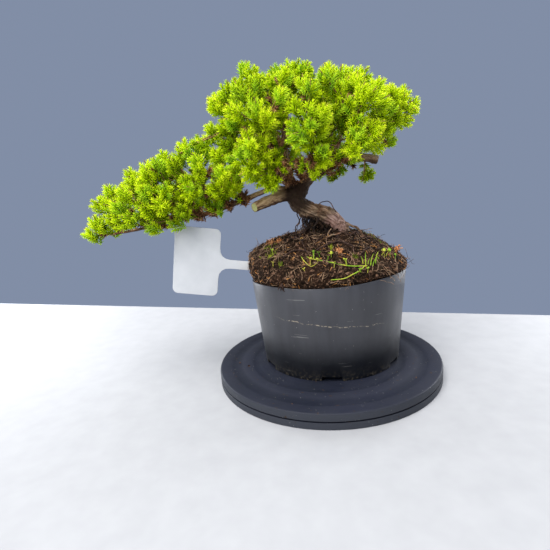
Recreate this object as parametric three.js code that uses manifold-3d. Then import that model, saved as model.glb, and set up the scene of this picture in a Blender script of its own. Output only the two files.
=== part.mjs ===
// A small garden juniper trained as a bonsai, with a leaning trunk and one long cascading branch.
// It grows in a cut-down nursery pot with a blank plant label, on a turntable that turns on a ball bearing.
// Millimetres, +Z up. The origin is the middle of the turntable's underside, and +Y points away.
import * as THREE from "three";
import { mergeVertices } from "three/addons/utils/BufferGeometryUtils.js";
import Module from "manifold-3d";

const wasm = await Module();
wasm.setup();

// Running gap between pieces that touch or nest.
const gap = 0.3;

// Turntable: two discs of one size, a ring of balls between them and a pin in the middle.
const tableRadius = 100;
const baseHeight = 5.2;
const topUnderside = 6.4;
const topHeight = 12.6;
const ringDepth = 1.1;
const ringGrooves = [
  [61.5, 70.3],
  [80, 89.6],
];
const edgeRound = 1.5;
const raceRadius = 45;
const ballRadius = 3;
const ballCount = 6;
const raceHalfWidth = ballRadius + 0.6;
const cageThickness = 0.6;
const cageHalfWidth = 4.6;
const pinRadius = 4;
const pinSeat = 1.6;
const pinTop = 10.9;
const tableSegments = 28;
const pinSides = 12;
const cageSides = 20;
const windowSides = 8;

// Pot: a cone cut off by hand, so that the rim rises and falls on its way round.
const potAxis = [4.6, 7.4];
const potFoot = topHeight + gap;
const potFootRadius = 61.8;
const potSlope = 0.09;
const potWall = 1.4;
const potFloor = 3;
const potSegments = 34;
const notchCount = 6;
const notchWidth = 16;
const notchHeight = 3.6;
const notchDepth = 10;
const notchTurn = -98;
const rimHeight = (turn) =>
  90.2 + 3.2 * Math.cos(turn + radians(50)) - Math.cos(3 * (turn + radians(95)));

// Root ball: it fills the pot, stands proud of the rim and rises to a mound under the trunk.
const moundTop = 129;
const moundPower = 2.2;
const soilSegments = 24;
const soilRings = [0.25, 0.55, 0.82];
const woodHole = 0.45;
const weedHole = 0.4;
const edgeHeight = (turn) => 105.4 - 4.4 * Math.cos(turn) + 7.9 * Math.sin(turn);

// Plant label: a flat head on a stem, stuck sideways into the root ball.
const labelLength = 100;
const labelHead = [40, 60];
const labelStem = 7.8;
const labelThickness = 1;
const labelCorner = 5;
const labelNeck = 10;
const labelBuried = 40;
const labelStart = [-130.7, -2, 114.2];
const labelDip = 9.6;

// Needles: awl-shaped, in whorls of three on a three-sided stem.
const needleLength = 5.8;
const needleLean = 38;
const lastLean = 26;
const whorlStep = 3.4;
const budLength = 2.2;
const stemRadius = 0.85;
const needleReach = 4.1;

// Sprays: leading shoots, and side shoots that leave them at an angle and bend forward.
const bareStep = 14;
const leadingWhorls = 3;
const leadingBend = 0.4;
const leadingShort = 3;
const sideWhorls = 2;
const sideBare = 7;
const sideSpread = 1.5;
const sideAngle = 55;
const sideLift = 1.5;
const sideMost = 2;
const sideTurns = 24;
const firstSeed = 1000;

function radians(degrees) {
  return (degrees * Math.PI) / 180;
}

// Seeded random numbers from 0 to 1.
function randomSource(seed) {
  let state = seed >>> 0;
  return () => {
    state = (state + 0x6d2b79f5) >>> 0;
    let mixed = Math.imul(state ^ (state >>> 15), 1 | state);
    mixed = (mixed + Math.imul(mixed ^ (mixed >>> 7), 61 | mixed)) ^ mixed;
    return ((mixed ^ (mixed >>> 14)) >>> 0) / 4294967296;
  };
}

const vector = (point) => new THREE.Vector3(point[0], point[1], point[2]);

// A closed geometry as a solid, turned the right way out.
function solid(geometry) {
  const bare = geometry.clone();
  bare.deleteAttribute("normal");
  bare.deleteAttribute("uv");
  const merged = mergeVertices(bare, 1e-4);
  const vertProperties = merged.attributes.position.array;
  const triVerts = new Uint32Array(merged.index.array);
  let volume = 0;
  const corners = [new THREE.Vector3(), new THREE.Vector3(), new THREE.Vector3()];
  for (let i = 0; i < triVerts.length; i += 3) {
    corners.forEach((corner, k) => corner.fromArray(vertProperties, 3 * triVerts[i + k]));
    volume += corners[0].dot(corners[1].cross(corners[2]));
  }
  if (volume < 0) {
    for (let i = 0; i < triVerts.length; i += 3) {
      [triVerts[i + 1], triVerts[i + 2]] = [triVerts[i + 2], triVerts[i + 1]];
    }
  }
  return new wasm.Manifold(new wasm.Mesh({ numProp: 3, vertProperties, triVerts }));
}

// Solids joined in one: a hollow that the joining seals is filled, and a loose scrap is dropped.
function joined(solids) {
  const whole = solids.reduce((sum, next) => sum.add(next));
  return whole.decompose().sort((first, second) => second.volume() - first.volume())[0];
}

function geometryOf(body) {
  const mesh = body.getMesh();
  const geometry = new THREE.BufferGeometry();
  geometry.setAttribute("position", new THREE.BufferAttribute(mesh.vertProperties.slice(), 3));
  geometry.setIndex(new THREE.BufferAttribute(mesh.triVerts.slice(), 1));
  geometry.computeVertexNormals();
  return geometry;
}

// A profile of [radius, height] points turned round the Z axis.
function turned(profile, segments) {
  const points = profile.map(([radius, height]) => new THREE.Vector2(radius, height));
  return new THREE.LatheGeometry(points, segments).rotateX(Math.PI / 2);
}

// Points along a curve, each with a frame that is carried on from the last without a twist.
function stationsAlong(curve, shares) {
  const stations = [];
  let normal = null;
  shares.forEach((share) => {
    const point = curve.getPointAt(share);
    const tangent = curve.getTangentAt(share).normalize();
    if (normal === null) {
      normal = Math.abs(tangent.z) > 0.9 ? new THREE.Vector3(1, 0, 0) : new THREE.Vector3(0, 0, 1);
    }
    normal = normal.clone().addScaledVector(tangent, -normal.dot(tangent)).normalize();
    const binormal = new THREE.Vector3().crossVectors(tangent, normal);
    stations.push({ point, tangent, normal, binormal });
  });
  return stations;
}

function spokeAt(station, turn) {
  return new THREE.Vector3()
    .addScaledVector(station.normal, Math.cos(turn))
    .addScaledVector(station.binormal, Math.sin(turn));
}

function between(values, share) {
  const place = share * (values.length - 1);
  const low = Math.min(Math.floor(place), values.length - 2);
  return THREE.MathUtils.lerp(values[low], values[low + 1], place - low);
}

// A tapering limb: a cylinder bent along a curve, with its radii given at equal shares of its length.
function limb(points, radii, sides, steps, fatter = 0) {
  const curve = new THREE.CatmullRomCurve3(points.map(vector));
  const shares = Array.from({ length: steps + 1 }, (_, i) => i / steps);
  const stations = stationsAlong(curve, shares);
  const geometry = new THREE.CylinderGeometry(1, 1, 1, sides, steps);
  const positions = geometry.attributes.position;
  for (let i = 0; i < positions.count; i += 1) {
    const share = positions.getY(i) + 0.5;
    const station = stations[Math.round(share * steps)];
    const radius = between(radii, share) + fatter;
    const place = station.point
      .clone()
      .addScaledVector(station.normal, positions.getX(i) * radius)
      .addScaledVector(station.binormal, positions.getZ(i) * radius);
    positions.setXYZ(i, place.x, place.y, place.z);
  }
  return solid(geometry);
}

// The turntable

const raceInner = raceRadius - raceHalfWidth;
const raceOuter = raceRadius + raceHalfWidth;
const raceMiddle = (baseHeight + topUnderside) / 2;

function turntableBase() {
  const raceFloor = raceMiddle - ballRadius - gap;
  return turned(
    [
      [0, 0],
      [tableRadius, 0],
      [tableRadius, baseHeight],
      [raceOuter, baseHeight],
      [raceOuter, raceFloor],
      [raceInner, raceFloor],
      [raceInner, baseHeight],
      [pinRadius + gap, baseHeight],
      [pinRadius + gap, pinSeat],
      [0, pinSeat],
    ],
    tableSegments,
  );
}

function turntableTop() {
  const raceCeiling = raceMiddle + ballRadius + gap;
  const ringFloor = topHeight - ringDepth;
  const upperFace = ringGrooves.flatMap(([inner, outer]) => [
    [inner, topHeight],
    [inner, ringFloor],
    [outer, ringFloor],
    [outer, topHeight],
  ]);
  return turned(
    [
      [0, pinTop + gap],
      [pinRadius + gap, pinTop + gap],
      [pinRadius + gap, topUnderside],
      [raceInner, topUnderside],
      [raceInner, raceCeiling],
      [raceOuter, raceCeiling],
      [raceOuter, topUnderside],
      [tableRadius, topUnderside],
      [tableRadius, topHeight - edgeRound],
      [tableRadius - edgeRound, topHeight],
      ...upperFace.reverse(),
      [0, topHeight],
    ],
    tableSegments,
  );
}

function pivotPin() {
  const height = pinTop - pinSeat - gap;
  const middle = pinSeat + gap + height / 2;
  return new THREE.CylinderGeometry(pinRadius, pinRadius, height, pinSides)
    .rotateX(Math.PI / 2)
    .translate(0, 0, middle);
}

const ballPlaces = Array.from({ length: ballCount }, (_, i) => {
  const turn = (i * 2 * Math.PI) / ballCount;
  return [raceRadius * Math.cos(turn), raceRadius * Math.sin(turn)];
});

function circle(x, y, radius, count) {
  return new THREE.EllipseCurve(x, y, radius, radius).getPoints(count).slice(1);
}

// A flat ring with a round window for each ball.
function bearingCage() {
  const windowRadius = (ballRadius + gap) / Math.cos(Math.PI / windowSides);
  const outline = new THREE.Shape(circle(0, 0, raceRadius + cageHalfWidth, cageSides));
  outline.holes.push(new THREE.Path(circle(0, 0, raceRadius - cageHalfWidth, cageSides)));
  ballPlaces.forEach(([x, y]) => outline.holes.push(new THREE.Path(circle(x, y, windowRadius, windowSides))));
  const options = { depth: cageThickness, bevelEnabled: false };
  return new THREE.ExtrudeGeometry(outline, options).translate(0, 0, raceMiddle - cageThickness / 2);
}

// The pot

const potRadius = (height) => potFootRadius + potSlope * (height - potFoot);

// The height of the wavy rim is given to the points that the profile leaves at rimMark.
const rimMark = 200;

function pot() {
  const floorUnderside = potFoot + potFloor;
  const floorTop = floorUnderside + potWall;
  const geometry = turned(
    [
      [0, floorUnderside],
      [potRadius(floorUnderside) - potWall, floorUnderside],
      [potFootRadius - potWall, potFoot],
      [potFootRadius, potFoot],
      [potFootRadius + potWall, rimMark],
      [potFootRadius, rimMark],
      [potRadius(floorTop) - potWall, floorTop],
      [0, floorTop],
    ],
    potSegments,
  );
  const positions = geometry.attributes.position;
  for (let i = 0; i < positions.count; i += 1) {
    if (positions.getZ(i) < rimMark - 1) continue;
    const turn = Math.atan2(positions.getY(i), positions.getX(i));
    const outside = Math.hypot(positions.getX(i), positions.getY(i)) > potFootRadius + potWall / 2;
    const height = rimHeight(turn);
    const radius = potRadius(height) - (outside ? 0 : potWall);
    positions.setXYZ(i, radius * Math.cos(turn), radius * Math.sin(turn), height);
  }
  let body = solid(geometry);
  for (let i = 0; i < notchCount; i += 1) {
    const turn = radians(notchTurn) + (i * 2 * Math.PI) / notchCount;
    const notch = new THREE.BoxGeometry(2 * notchDepth, notchWidth, 2 * notchHeight)
      .translate(potFootRadius, 0, potFoot)
      .rotateZ(turn);
    body = body.subtract(solid(notch));
  }
  return body.translate([potAxis[0], potAxis[1], 0]);
}

// The root ball

// Low lumps of peat on the mound.
const lumps = (x, y) => 0.9 * Math.sin(0.31 * x + 1.3) * Math.cos(0.27 * y) + 0.6 * Math.sin(0.6 * (x - y));

const moundRadius = potRadius(90);

function soilHeight(x, y) {
  const dx = x - potAxis[0];
  const dy = y - potAxis[1];
  const turn = Math.atan2(dy, dx);
  const share = Math.min(Math.hypot(dx, dy) / moundRadius, 1);
  const edge = edgeHeight(turn);
  return edge + (moundTop - edge) * (1 - share ** moundPower) + lumps(x, y) * (1 - share ** 8);
}

const soilBottom = potFoot + potFloor + potWall + gap;

// Rings of the root ball from its underside to its crown: the radius and the height in one direction.
function soilRing(ring, turn) {
  const inside = potRadius(soilBottom) - potWall - gap;
  const rim = rimHeight(turn);
  const proud = edgeHeight(turn);
  const atRim = potRadius(rim) - potWall - 2 * gap;
  const ripple = 0.7 * Math.sin(5 * turn) + 0.5 * Math.cos(9 * turn + 1);
  if (ring === 0) return [inside, soilBottom];
  if (ring === 1) return [atRim, rim];
  if (ring === 2) return [atRim + 0.6 + ripple, (rim + proud) / 2];
  if (ring === 3) return [atRim - 0.6 + ripple, proud - 2.5];
  const share = soilRings[soilRings.length - (ring - 3)];
  const radius = share * moundRadius;
  const x = potAxis[0] + radius * Math.cos(turn);
  const y = potAxis[1] + radius * Math.sin(turn);
  return [radius, soilHeight(x, y)];
}

function rootBallBlank() {
  const ringCount = 4 + soilRings.length;
  const profile = [[0, 0]];
  for (let ring = 0; ring < ringCount; ring += 1) profile.push([1, ring + 1]);
  profile.push([0, ringCount + 1]);
  const geometry = turned(profile, soilSegments);
  const positions = geometry.attributes.position;
  for (let i = 0; i < positions.count; i += 1) {
    const ring = Math.round(positions.getZ(i)) - 1;
    const turn = Math.atan2(positions.getY(i), positions.getX(i));
    if (ring < 0) positions.setXYZ(i, potAxis[0], potAxis[1], soilBottom);
    else if (ring === ringCount) positions.setXYZ(i, potAxis[0], potAxis[1], soilHeight(...potAxis));
    else {
      const [radius, height] = soilRing(ring, turn);
      positions.setXYZ(i, potAxis[0] + radius * Math.cos(turn), potAxis[1] + radius * Math.sin(turn), height);
    }
  }
  return solid(geometry);
}

// Trunk, roots and limbs: each limb has its points, its radii from start to end, its sides and its steps.

const onSoil = (x, y, lift) => [x, y, soilHeight(x, y) + lift];

const limbs = {
  trunk: {
    points: [
      [20, 3, 98],
      [19, 1.5, 114],
      [18, 0, 125],
      [11.2, 0, 136.4],
      [3.9, 0, 141.8],
      [-6.1, 0, 146.2],
      [-15.2, 0, 151.3],
      [-20.5, 0, 158],
      [-24, 0, 166],
    ],
    radii: [6, 7.4, 8.4, 8.3, 8, 7.6, 7.2, 6.4],
    sides: 9,
    steps: 9,
  },
  stub: {
    points: [
      [-20, -1.5, 162],
      [-34.9, -3, 160.7],
      [-45.7, -3, 157.2],
      [-56.6, -3, 153.2],
    ],
    radii: [6.2, 5.8, 5.5, 5.2],
    sides: 8,
    steps: 3,
  },
  leader: {
    points: [
      [-19, 0, 158],
      [-25, 2, 178],
      [-27, 4, 198],
      [-24, 4, 220],
      [-20, 4, 244],
    ],
    radii: [6, 4.6, 3.2, 2.2, 1.3],
    sides: 6,
    steps: 6,
  },
  cascade: {
    points: [
      [-22, -1, 164],
      [-37.5, -1, 168.5],
      [-49.8, -1, 165.3],
      [-64.9, -2, 160.5],
      [-80, -3, 155.8],
      [-99.8, -4, 150.9],
      [-116.5, -5, 149.2],
      [-133.4, -6, 147.1],
      [-153, -8, 143.5],
      [-176, -8, 141],
    ],
    radii: [3.4, 2.6, 2.3, 2, 1.6, 1.2],
    sides: 6,
    steps: 11,
  },
  rightArm: {
    points: [
      [-17, 0, 160],
      [-9, 0, 173.5],
      [3, 0, 181],
      [15, 0, 187],
      [27, 0, 190],
    ],
    radii: [5.5, 5.3, 5, 4.6, 4],
    sides: 7,
    steps: 5,
  },
  deadStub: {
    points: [
      [22, 0, 189],
      [33, 0, 188.7],
      [43, 0, 187.1],
      [51.5, 0, 184.9],
    ],
    radii: [3.8, 3.6, 3.5],
    sides: 6,
    steps: 3,
  },
  rightLimb: {
    points: [
      [20, 0, 188.5],
      [36, 1, 196],
      [49, 1, 206],
      [60, 0, 214],
      [70, -1, 223],
    ],
    radii: [3.8, 2.8, 2, 1.3],
    sides: 5,
    steps: 5,
  },
  upperLeft: {
    points: [
      [-25, 2, 180],
      [-40, -4, 200],
      [-55, -8, 217],
      [-66, -8, 232],
    ],
    radii: [2.9, 2.2, 1.6, 1.2],
    sides: 5,
    steps: 4,
  },
  frontLeft: {
    points: [
      [-23, -1, 172],
      [-33, -15, 186],
      [-40, -26, 197],
      [-43, -32, 207],
    ],
    radii: [2.8, 2.1, 1.5, 1.1],
    sides: 5,
    steps: 4,
  },
  front: {
    points: [
      [0, -1, 179],
      [0, -14, 187],
      [-4, -29, 195],
      [-8, -39, 201],
    ],
    radii: [2.8, 2.1, 1.5, 1.1],
    sides: 5,
    steps: 4,
  },
  frontRight: {
    points: [
      [14, -1, 186],
      [19, -13, 193],
      [23, -24, 200],
      [24, -30, 210],
    ],
    radii: [2.6, 2, 1.5, 1.1],
    sides: 5,
    steps: 4,
  },
  topRight: {
    points: [
      [6, 0, 182],
      [12, 2, 204],
      [16, 3, 224],
      [20, 3, 240],
    ],
    radii: [3.2, 2.4, 1.8, 1.3],
    sides: 5,
    steps: 4,
  },
  backLeft: {
    points: [
      [-25, 3, 180],
      [-34, 18, 200],
      [-42, 32, 214],
      [-45, 40, 226],
    ],
    radii: [2.8, 2.1, 1.5, 1.1],
    sides: 5,
    steps: 4,
  },
  backRight: {
    points: [
      [12, 1, 185],
      [20, 16, 198],
      [27, 31, 210],
      [30, 40, 221],
    ],
    radii: [2.8, 2.1, 1.5, 1.1],
    sides: 5,
    steps: 4,
  },
};

const rootLift = 0.4;
const rootDepth = 6;
const rootSides = 4;

// Roots that hang from the trunk's underside, arch over it or run on the soil from the trunk's foot.
const roots = [
  {
    points: [[-20, -3, 153], [-23.9, -4, 145.1], [-21, -5, 136], [-20, -6, 118]],
    radii: [1.1, 0.8],
    steps: 3,
  },
  {
    points: [[-13, -3, 149], [-15.5, -5, 140], [-15, -6, 131], [-18, -7, 116]],
    radii: [1.2, 0.8],
    steps: 3,
  },
  {
    points: [[-5, -5, 144], [-6, -8, 141], [-8, -9, 134], [-11, -11, 116]],
    radii: [1.5, 1.2],
    steps: 3,
  },
  {
    points: [[-3, -3, 149], [2, -4.5, 154], [8.2, -5, 152.6], [14, -3, 143]],
    radii: [0.8, 0.8],
    steps: 5,
  },
  {
    points: [[14, 0, 134], [23, -3, 133.5], [30, -5, 130], [40, -8, 116]],
    radii: [2.6, 1],
    steps: 4,
  },
  {
    points: [[17, -3, 126], onSoil(14, -14, rootLift), onSoil(2, -24, rootLift), onSoil(-14, -27, -rootDepth)],
    radii: [2, 0.9],
    steps: 6,
  },
  {
    points: [[18, 2, 126], onSoil(22, 16, rootLift), onSoil(14, 32, rootLift), onSoil(4, 40, -rootDepth)],
    radii: [2.2, 0.9],
    steps: 6,
  },
  {
    points: [[14, 0, 128], [2, 4, 130], onSoil(-12, 8, rootLift), onSoil(-30, 14, -rootDepth)],
    radii: [3, 1],
    steps: 5,
  },
];

// Leafy twigs: the limb each one leaves, where along it, and the points that its leading shoots reach.
const twigs = [
  { name: "apex", from: "leader", share: 1, tips: [[-19, 5, 270], [-34, 2, 265]] },
  { name: "apex_right", from: "leader", share: 0.83, tips: [[-4, -9, 259], [-6, 14, 262]] },
  { name: "apex_back", from: "leader", share: 0.67, tips: [[-22, 30, 252], [-40, 24, 253]] },
  { name: "apex_front", from: "leader", share: 0.67, tips: [[-19, -26, 238], [-38, -27, 239]] },
  { name: "shoulder_left", from: "upperLeft", share: 0.75, tips: [[-50, -8, 260], [-66, -5, 255]] },
  { name: "left_edge", from: "upperLeft", share: 1, tips: [[-82, 0, 247], [-86, -12, 236]] },
  { name: "left_hem", from: "upperLeft", share: 0.5, tips: [[-89, -5, 224], [-78, -14, 212]] },
  { name: "left_face", from: "upperLeft", share: 0.75, tips: [[-62, -27, 235], [-72, -30, 222]] },
  { name: "left_back", from: "upperLeft", share: 0.5, tips: [[-66, 24, 236], [-76, 26, 220]] },
  { name: "face_left", from: "frontLeft", share: 1, tips: [[-35, -46, 224], [-51, -42, 222]] },
  { name: "face_low_left", from: "frontLeft", share: 0.75, tips: [[-64, -45, 200], [-54, -52, 204]] },
  { name: "hanging_left", from: "frontLeft", share: 0.5, tips: [[-48, -36, 178], [-46, -30, 166]] },
  { name: "face_middle", from: "front", share: 1, tips: [[-9, -56, 213], [-28, -56, 202]] },
  { name: "face_low", from: "front", share: 0.75, tips: [[-2, -50, 195], [6, -42, 184]] },
  { name: "face_high", from: "topRight", share: 0.5, tips: [[12, -38, 227], [-1, -32, 236]] },
  { name: "face_right", from: "frontRight", share: 1, tips: [[38, -36, 213], [22, -46, 214]] },
  { name: "face_low_right", from: "frontRight", share: 0.75, tips: [[20, -46, 195], [36, -40, 201]] },
  { name: "crest_right", from: "topRight", share: 1, tips: [[24, 0, 262], [36, 8, 260]] },
  { name: "crest_middle", from: "topRight", share: 0.75, tips: [[12, 16, 262], [8, 34, 250]] },
  { name: "crest_front", from: "topRight", share: 0.75, tips: [[27, -25, 240], [10, -18, 250]] },
  { name: "crest_far_right", from: "rightLimb", share: 0.4, tips: [[43, -5, 251], [55, 5, 250]] },
  { name: "right_top", from: "rightLimb", share: 0.8, tips: [[66, 0, 244], [79, 12, 243]] },
  { name: "right_edge", from: "rightLimb", share: 1, tips: [[87, 0, 231], [80, -13, 220]] },
  { name: "right_face", from: "rightLimb", share: 0.6, tips: [[56, -26, 228], [60, -20, 212]] },
  { name: "right_hem", from: "rightLimb", share: 0.6, tips: [[74, 20, 204], [66, 30, 214]] },
  { name: "under_right", from: "deadStub", share: 0.67, tips: [[51, 10, 176], [38, 1, 168]] },
  { name: "under_arm", from: "rightArm", share: 0.8, tips: [[18, -6, 174]] },
  { name: "back_left", from: "backLeft", share: 1, tips: [[-46, 55, 236], [-62, 46, 228]] },
  { name: "back_middle", from: "backLeft", share: 0.75, tips: [[-26, 60, 216], [-46, 56, 206]] },
  { name: "back_right", from: "backRight", share: 1, tips: [[30, 56, 232], [46, 44, 230]] },
  { name: "back_low", from: "backRight", share: 0.75, tips: [[8, 62, 214], [36, 58, 206]] },
  { name: "cascade_tip", from: "cascade", share: 1, tips: [[-204, -3, 147], [-189, -14, 158]] },
  { name: "cascade_top_6", from: "cascade", share: 0.91, tips: [[-189, 5, 175], [-177, -8, 183]] },
  { name: "cascade_front_4", from: "cascade", share: 0.82, tips: [[-167, -28, 169], [-158, -36, 156]] },
  { name: "cascade_top_5", from: "cascade", share: 0.73, tips: [[-162, 0, 194], [-156, 16, 192]] },
  { name: "cascade_front_3", from: "cascade", share: 0.64, tips: [[-143, -33, 178], [-130, -38, 167]] },
  { name: "cascade_top_4", from: "cascade", share: 0.55, tips: [[-141, -5, 194], [-131, 1, 207]] },
  { name: "cascade_under", from: "cascade", share: 0.64, tips: [[-148, -24, 138], [-128, -24, 140]] },
  { name: "cascade_front_2", from: "cascade", share: 0.45, tips: [[-118, -26, 198], [-104, -40, 174]] },
  { name: "cascade_top_3", from: "cascade", share: 0.45, tips: [[-113, 5, 216], [-97, -4, 217]] },
  { name: "cascade_front_1", from: "cascade", share: 0.36, tips: [[-98, -38, 198], [-86, -36, 176]] },
  { name: "cascade_top_1", from: "cascade", share: 0.27, tips: [[-83, -26, 202], [-70, -8, 184]] },
  { name: "cascade_back_3", from: "cascade", share: 0.82, tips: [[-166, 28, 172], [-146, 38, 166]] },
  { name: "cascade_back_2", from: "cascade", share: 0.55, tips: [[-126, 34, 190], [-112, 42, 176]] },
  { name: "cascade_back_1", from: "cascade", share: 0.36, tips: [[-92, 34, 196], [-84, 40, 176]] },
];

const curveOf = (item) => new THREE.CatmullRomCurve3(item.points.map(vector));

// A twig leaves a limb square to it, at one of its rings, or goes on from its end.
function layOutTwig(twig) {
  const parent = limbs[twig.from];
  const curve = curveOf(parent);
  const share = Math.round(twig.share * parent.steps) / parent.steps;
  const start = curve.getPointAt(share);
  const heading = curve.getTangentAt(share);
  const tips = twig.tips.map(vector);
  if (share < 1) {
    const middle = tips.reduce((sum, tip) => sum.add(tip), new THREE.Vector3()).divideScalar(tips.length);
    const away = middle.sub(start);
    away.addScaledVector(heading, -away.dot(heading)).normalize();
    heading.copy(away);
    start.addScaledVector(heading, between(parent.radii, share));
  }
  start.addScaledVector(heading, gap);
  return { start, heading, tips };
}

const laidOut = twigs.map(layOutTwig);

function trunkAndLimbs(fatter) {
  const pieces = [...Object.values(limbs), ...roots];
  const shape = ({ points, radii, sides = rootSides, steps }) => limb(points, radii, sides, steps, fatter);
  return joined(pieces.map(shape));
}

// Leafy shoots

// The shares of a shoot's length where its rings lie: far apart on the bare stem, then one whorl apart.
function ringShares(length, whorls) {
  const needled = Math.min((whorls * whorlStep) / length, 0.8);
  const bareSteps = Math.ceil(((1 - needled) * length) / bareStep);
  const shares = [];
  for (let i = 0; i < bareSteps; i += 1) shares.push(((1 - needled) * i) / bareSteps);
  for (let i = 0; i <= whorls; i += 1) shares.push(Math.min(1, 1 - needled + (needled * i) / whorls));
  return { shares, bareSteps };
}

// The stem is a stack of three-cornered rings, each turned by a sixth against the last. The three faces
// that stand on a ring rise to needles that lean forward, so each whorl grows out of the stem without a seam.
function shoot(curve, whorls, spin) {
  const { shares, bareSteps } = ringShares(curve.getLength(), whorls);
  const stations = stationsAlong(curve, shares);
  const positions = [];
  const index = [];
  const corner = (ring, k) => 3 * ring + (k % 3);
  stations.forEach((station, ring) => {
    for (let k = 0; k < 3; k += 1) {
      const turn = spin + radians(60 * ring + 120 * k);
      positions.push(...station.point.clone().addScaledVector(spokeAt(station, turn), stemRadius).toArray());
    }
  });
  index.push(corner(0, 0), corner(0, 2), corner(0, 1));
  for (let ring = 0; ring + 1 < stations.length; ring += 1) {
    for (let k = 0; k < 3; k += 1) {
      const foot = [corner(ring, k), corner(ring, k + 1), corner(ring + 1, k)];
      if (ring < bareSteps) index.push(...foot);
      else {
        const turn = spin + radians(60 * ring + 120 * k + 60);
        const lean = radians(ring + 2 === stations.length ? lastLean : needleLean);
        const station = stations[ring];
        const point = station.point
          .clone()
          .addScaledVector(spokeAt(station, turn), stemRadius / 2 + needleLength * Math.sin(lean))
          .addScaledVector(station.tangent, whorlStep / 3 + needleLength * Math.cos(lean));
        const tip = positions.length / 3;
        positions.push(...point.toArray());
        index.push(foot[0], foot[1], tip, foot[1], foot[2], tip, foot[2], foot[0], tip);
      }
      index.push(corner(ring + 1, k), corner(ring, k + 1), corner(ring + 1, k + 1));
    }
  }
  const last = stations.length - 1;
  const bud = stations[last].point.clone().addScaledVector(stations[last].tangent, budLength);
  const budIndex = positions.length / 3;
  positions.push(...bud.toArray());
  for (let k = 0; k < 3; k += 1) index.push(corner(last, k), corner(last, k + 1), budIndex);
  const geometry = new THREE.BufferGeometry();
  geometry.setAttribute("position", new THREE.Float32BufferAttribute(positions, 3));
  geometry.setIndex(index);
  return solid(geometry);
}

// The room that a shoot takes up: a bare stretch and a stretch with the reach of its needles round it.
function roomOf(curve, reach) {
  const points = [0.2, 0.5, 1].map((share) => curve.getPointAt(share));
  return [
    { line: new THREE.Line3(points[0], points[1]), reach: stemRadius },
    { line: new THREE.Line3(points[1], points[2]), reach },
  ];
}

function distanceBetween(first, second) {
  let nearest = Infinity;
  const point = new THREE.Vector3();
  const foot = new THREE.Vector3();
  for (let i = 0; i <= 6; i += 1) {
    first.at(i / 6, point);
    second.closestPointToPoint(point, true, foot);
    nearest = Math.min(nearest, point.distanceTo(foot));
  }
  return nearest;
}

function isFree(room, taken) {
  const clear = (own, other) => distanceBetween(own.line, other.line) > own.reach + other.reach;
  return room.every((own) => taken.every((other) => clear(own, other)));
}

// The wood takes room too.
const woodRoom = [...Object.values(limbs), ...roots].flatMap((item) => {
  const points = curveOf(item).getSpacedPoints(8);
  return points.slice(1).map((point, i) => ({
    line: new THREE.Line3(points[i], point),
    reach: between(item.radii, (i + 0.5) / 8),
  }));
});

// A leading shoot bends from its heading to its tip, and ends where its last needles still reach that.
function leadingCurve(start, heading, tip) {
  const distance = tip.distanceTo(start);
  const control = start.clone().addScaledVector(heading, leadingBend * distance);
  const last = tip.clone().sub(control).normalize();
  return new THREE.QuadraticBezierCurve3(start, control, tip.clone().addScaledVector(last, -leadingShort));
}

// The first leading shoot starts the twig, and the others fork off it.
function leadingCurvesOf({ start, heading, tips }) {
  const first = leadingCurve(start, heading, tips[0]);
  const { shares } = ringShares(first.getLength(), leadingWhorls);
  const fork = first.getPointAt(shares[1]);
  const forks = tips.slice(1).map((tip) => leadingCurve(fork, first.getTangentAt(shares[1]), tip));
  return [first, ...forks];
}

const leadingCurves = laidOut.map(leadingCurvesOf);

// A side shoot leaves its leading shoot at an angle and bends forward a little.
function sideCurve(station, turn, length) {
  const angle = radians(sideAngle);
  const out = spokeAt(station, turn)
    .multiplyScalar(Math.sin(angle))
    .addScaledVector(station.tangent, Math.cos(angle));
  const bend = station.point.clone().addScaledVector(out, length / 2);
  const end = station.point.clone().addScaledVector(out, length).addScaledVector(station.tangent, sideLift);
  return new THREE.QuadraticBezierCurve3(station.point.clone(), bend, end);
}

// A spray: its leading shoots, and side shoots at the last two rings of their bare stems. Each side shoot
// takes the free turn at which its needles cross the fewest others.
function spray(twigIndex, roomByTwig) {
  const random = randomSource(firstSeed + twigIndex);
  const others = [...woodRoom, ...roomByTwig.filter((_, i) => i !== twigIndex).flat()];
  const leading = leadingCurves[twigIndex];
  const own = leading.flatMap((curve) => roomOf(curve, 1).slice(1));
  let body = joined(leading.map((curve) => shoot(curve, leadingWhorls, random() * 2 * Math.PI)));
  let sideCount = 0;
  [0, 1].forEach((ringsBack) => {
    leading.forEach((curve) => {
      const { shares, bareSteps } = ringShares(curve.getLength(), leadingWhorls);
      if (bareSteps <= ringsBack || sideCount === sideMost) return;
      const [station] = stationsAlong(curve, [shares[bareSteps - ringsBack]]);
      const reach = sideBare + sideWhorls * whorlStep + sideSpread * random();
      const firstTurn = random() * 2 * Math.PI;
      let best = null;
      for (let attempt = 0; attempt < sideTurns; attempt += 1) {
        const side = sideCurve(station, firstTurn + (attempt * 2 * Math.PI) / sideTurns, reach);
        const core = roomOf(side, needleReach / 2).slice(1);
        if (!isFree(roomOf(side, needleReach), others) || !isFree(core, own)) continue;
        const whole = joined([body, shoot(side, sideWhorls, firstTurn + attempt)]);
        if (best === null || whole.numTri() < best.whole.numTri()) best = { side, core, whole };
      }
      if (best === null) return;
      body = best.whole;
      own.push(...best.core);
      roomByTwig[twigIndex].push(...roomOf(best.side, needleReach));
      sideCount += 1;
    });
  });
  return body;
}

function sprays() {
  const roomByTwig = leadingCurves.map((curves) => curves.flatMap((curve) => roomOf(curve, needleReach)));
  return twigs.map((_, i) => spray(i, roomByTwig));
}

// The plant label

const labelHeading = radians(-labelDip);
const labelPlace = (geometry) =>
  geometry.rotateX(Math.PI / 2).rotateY(-labelHeading).translate(...labelStart);

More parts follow.
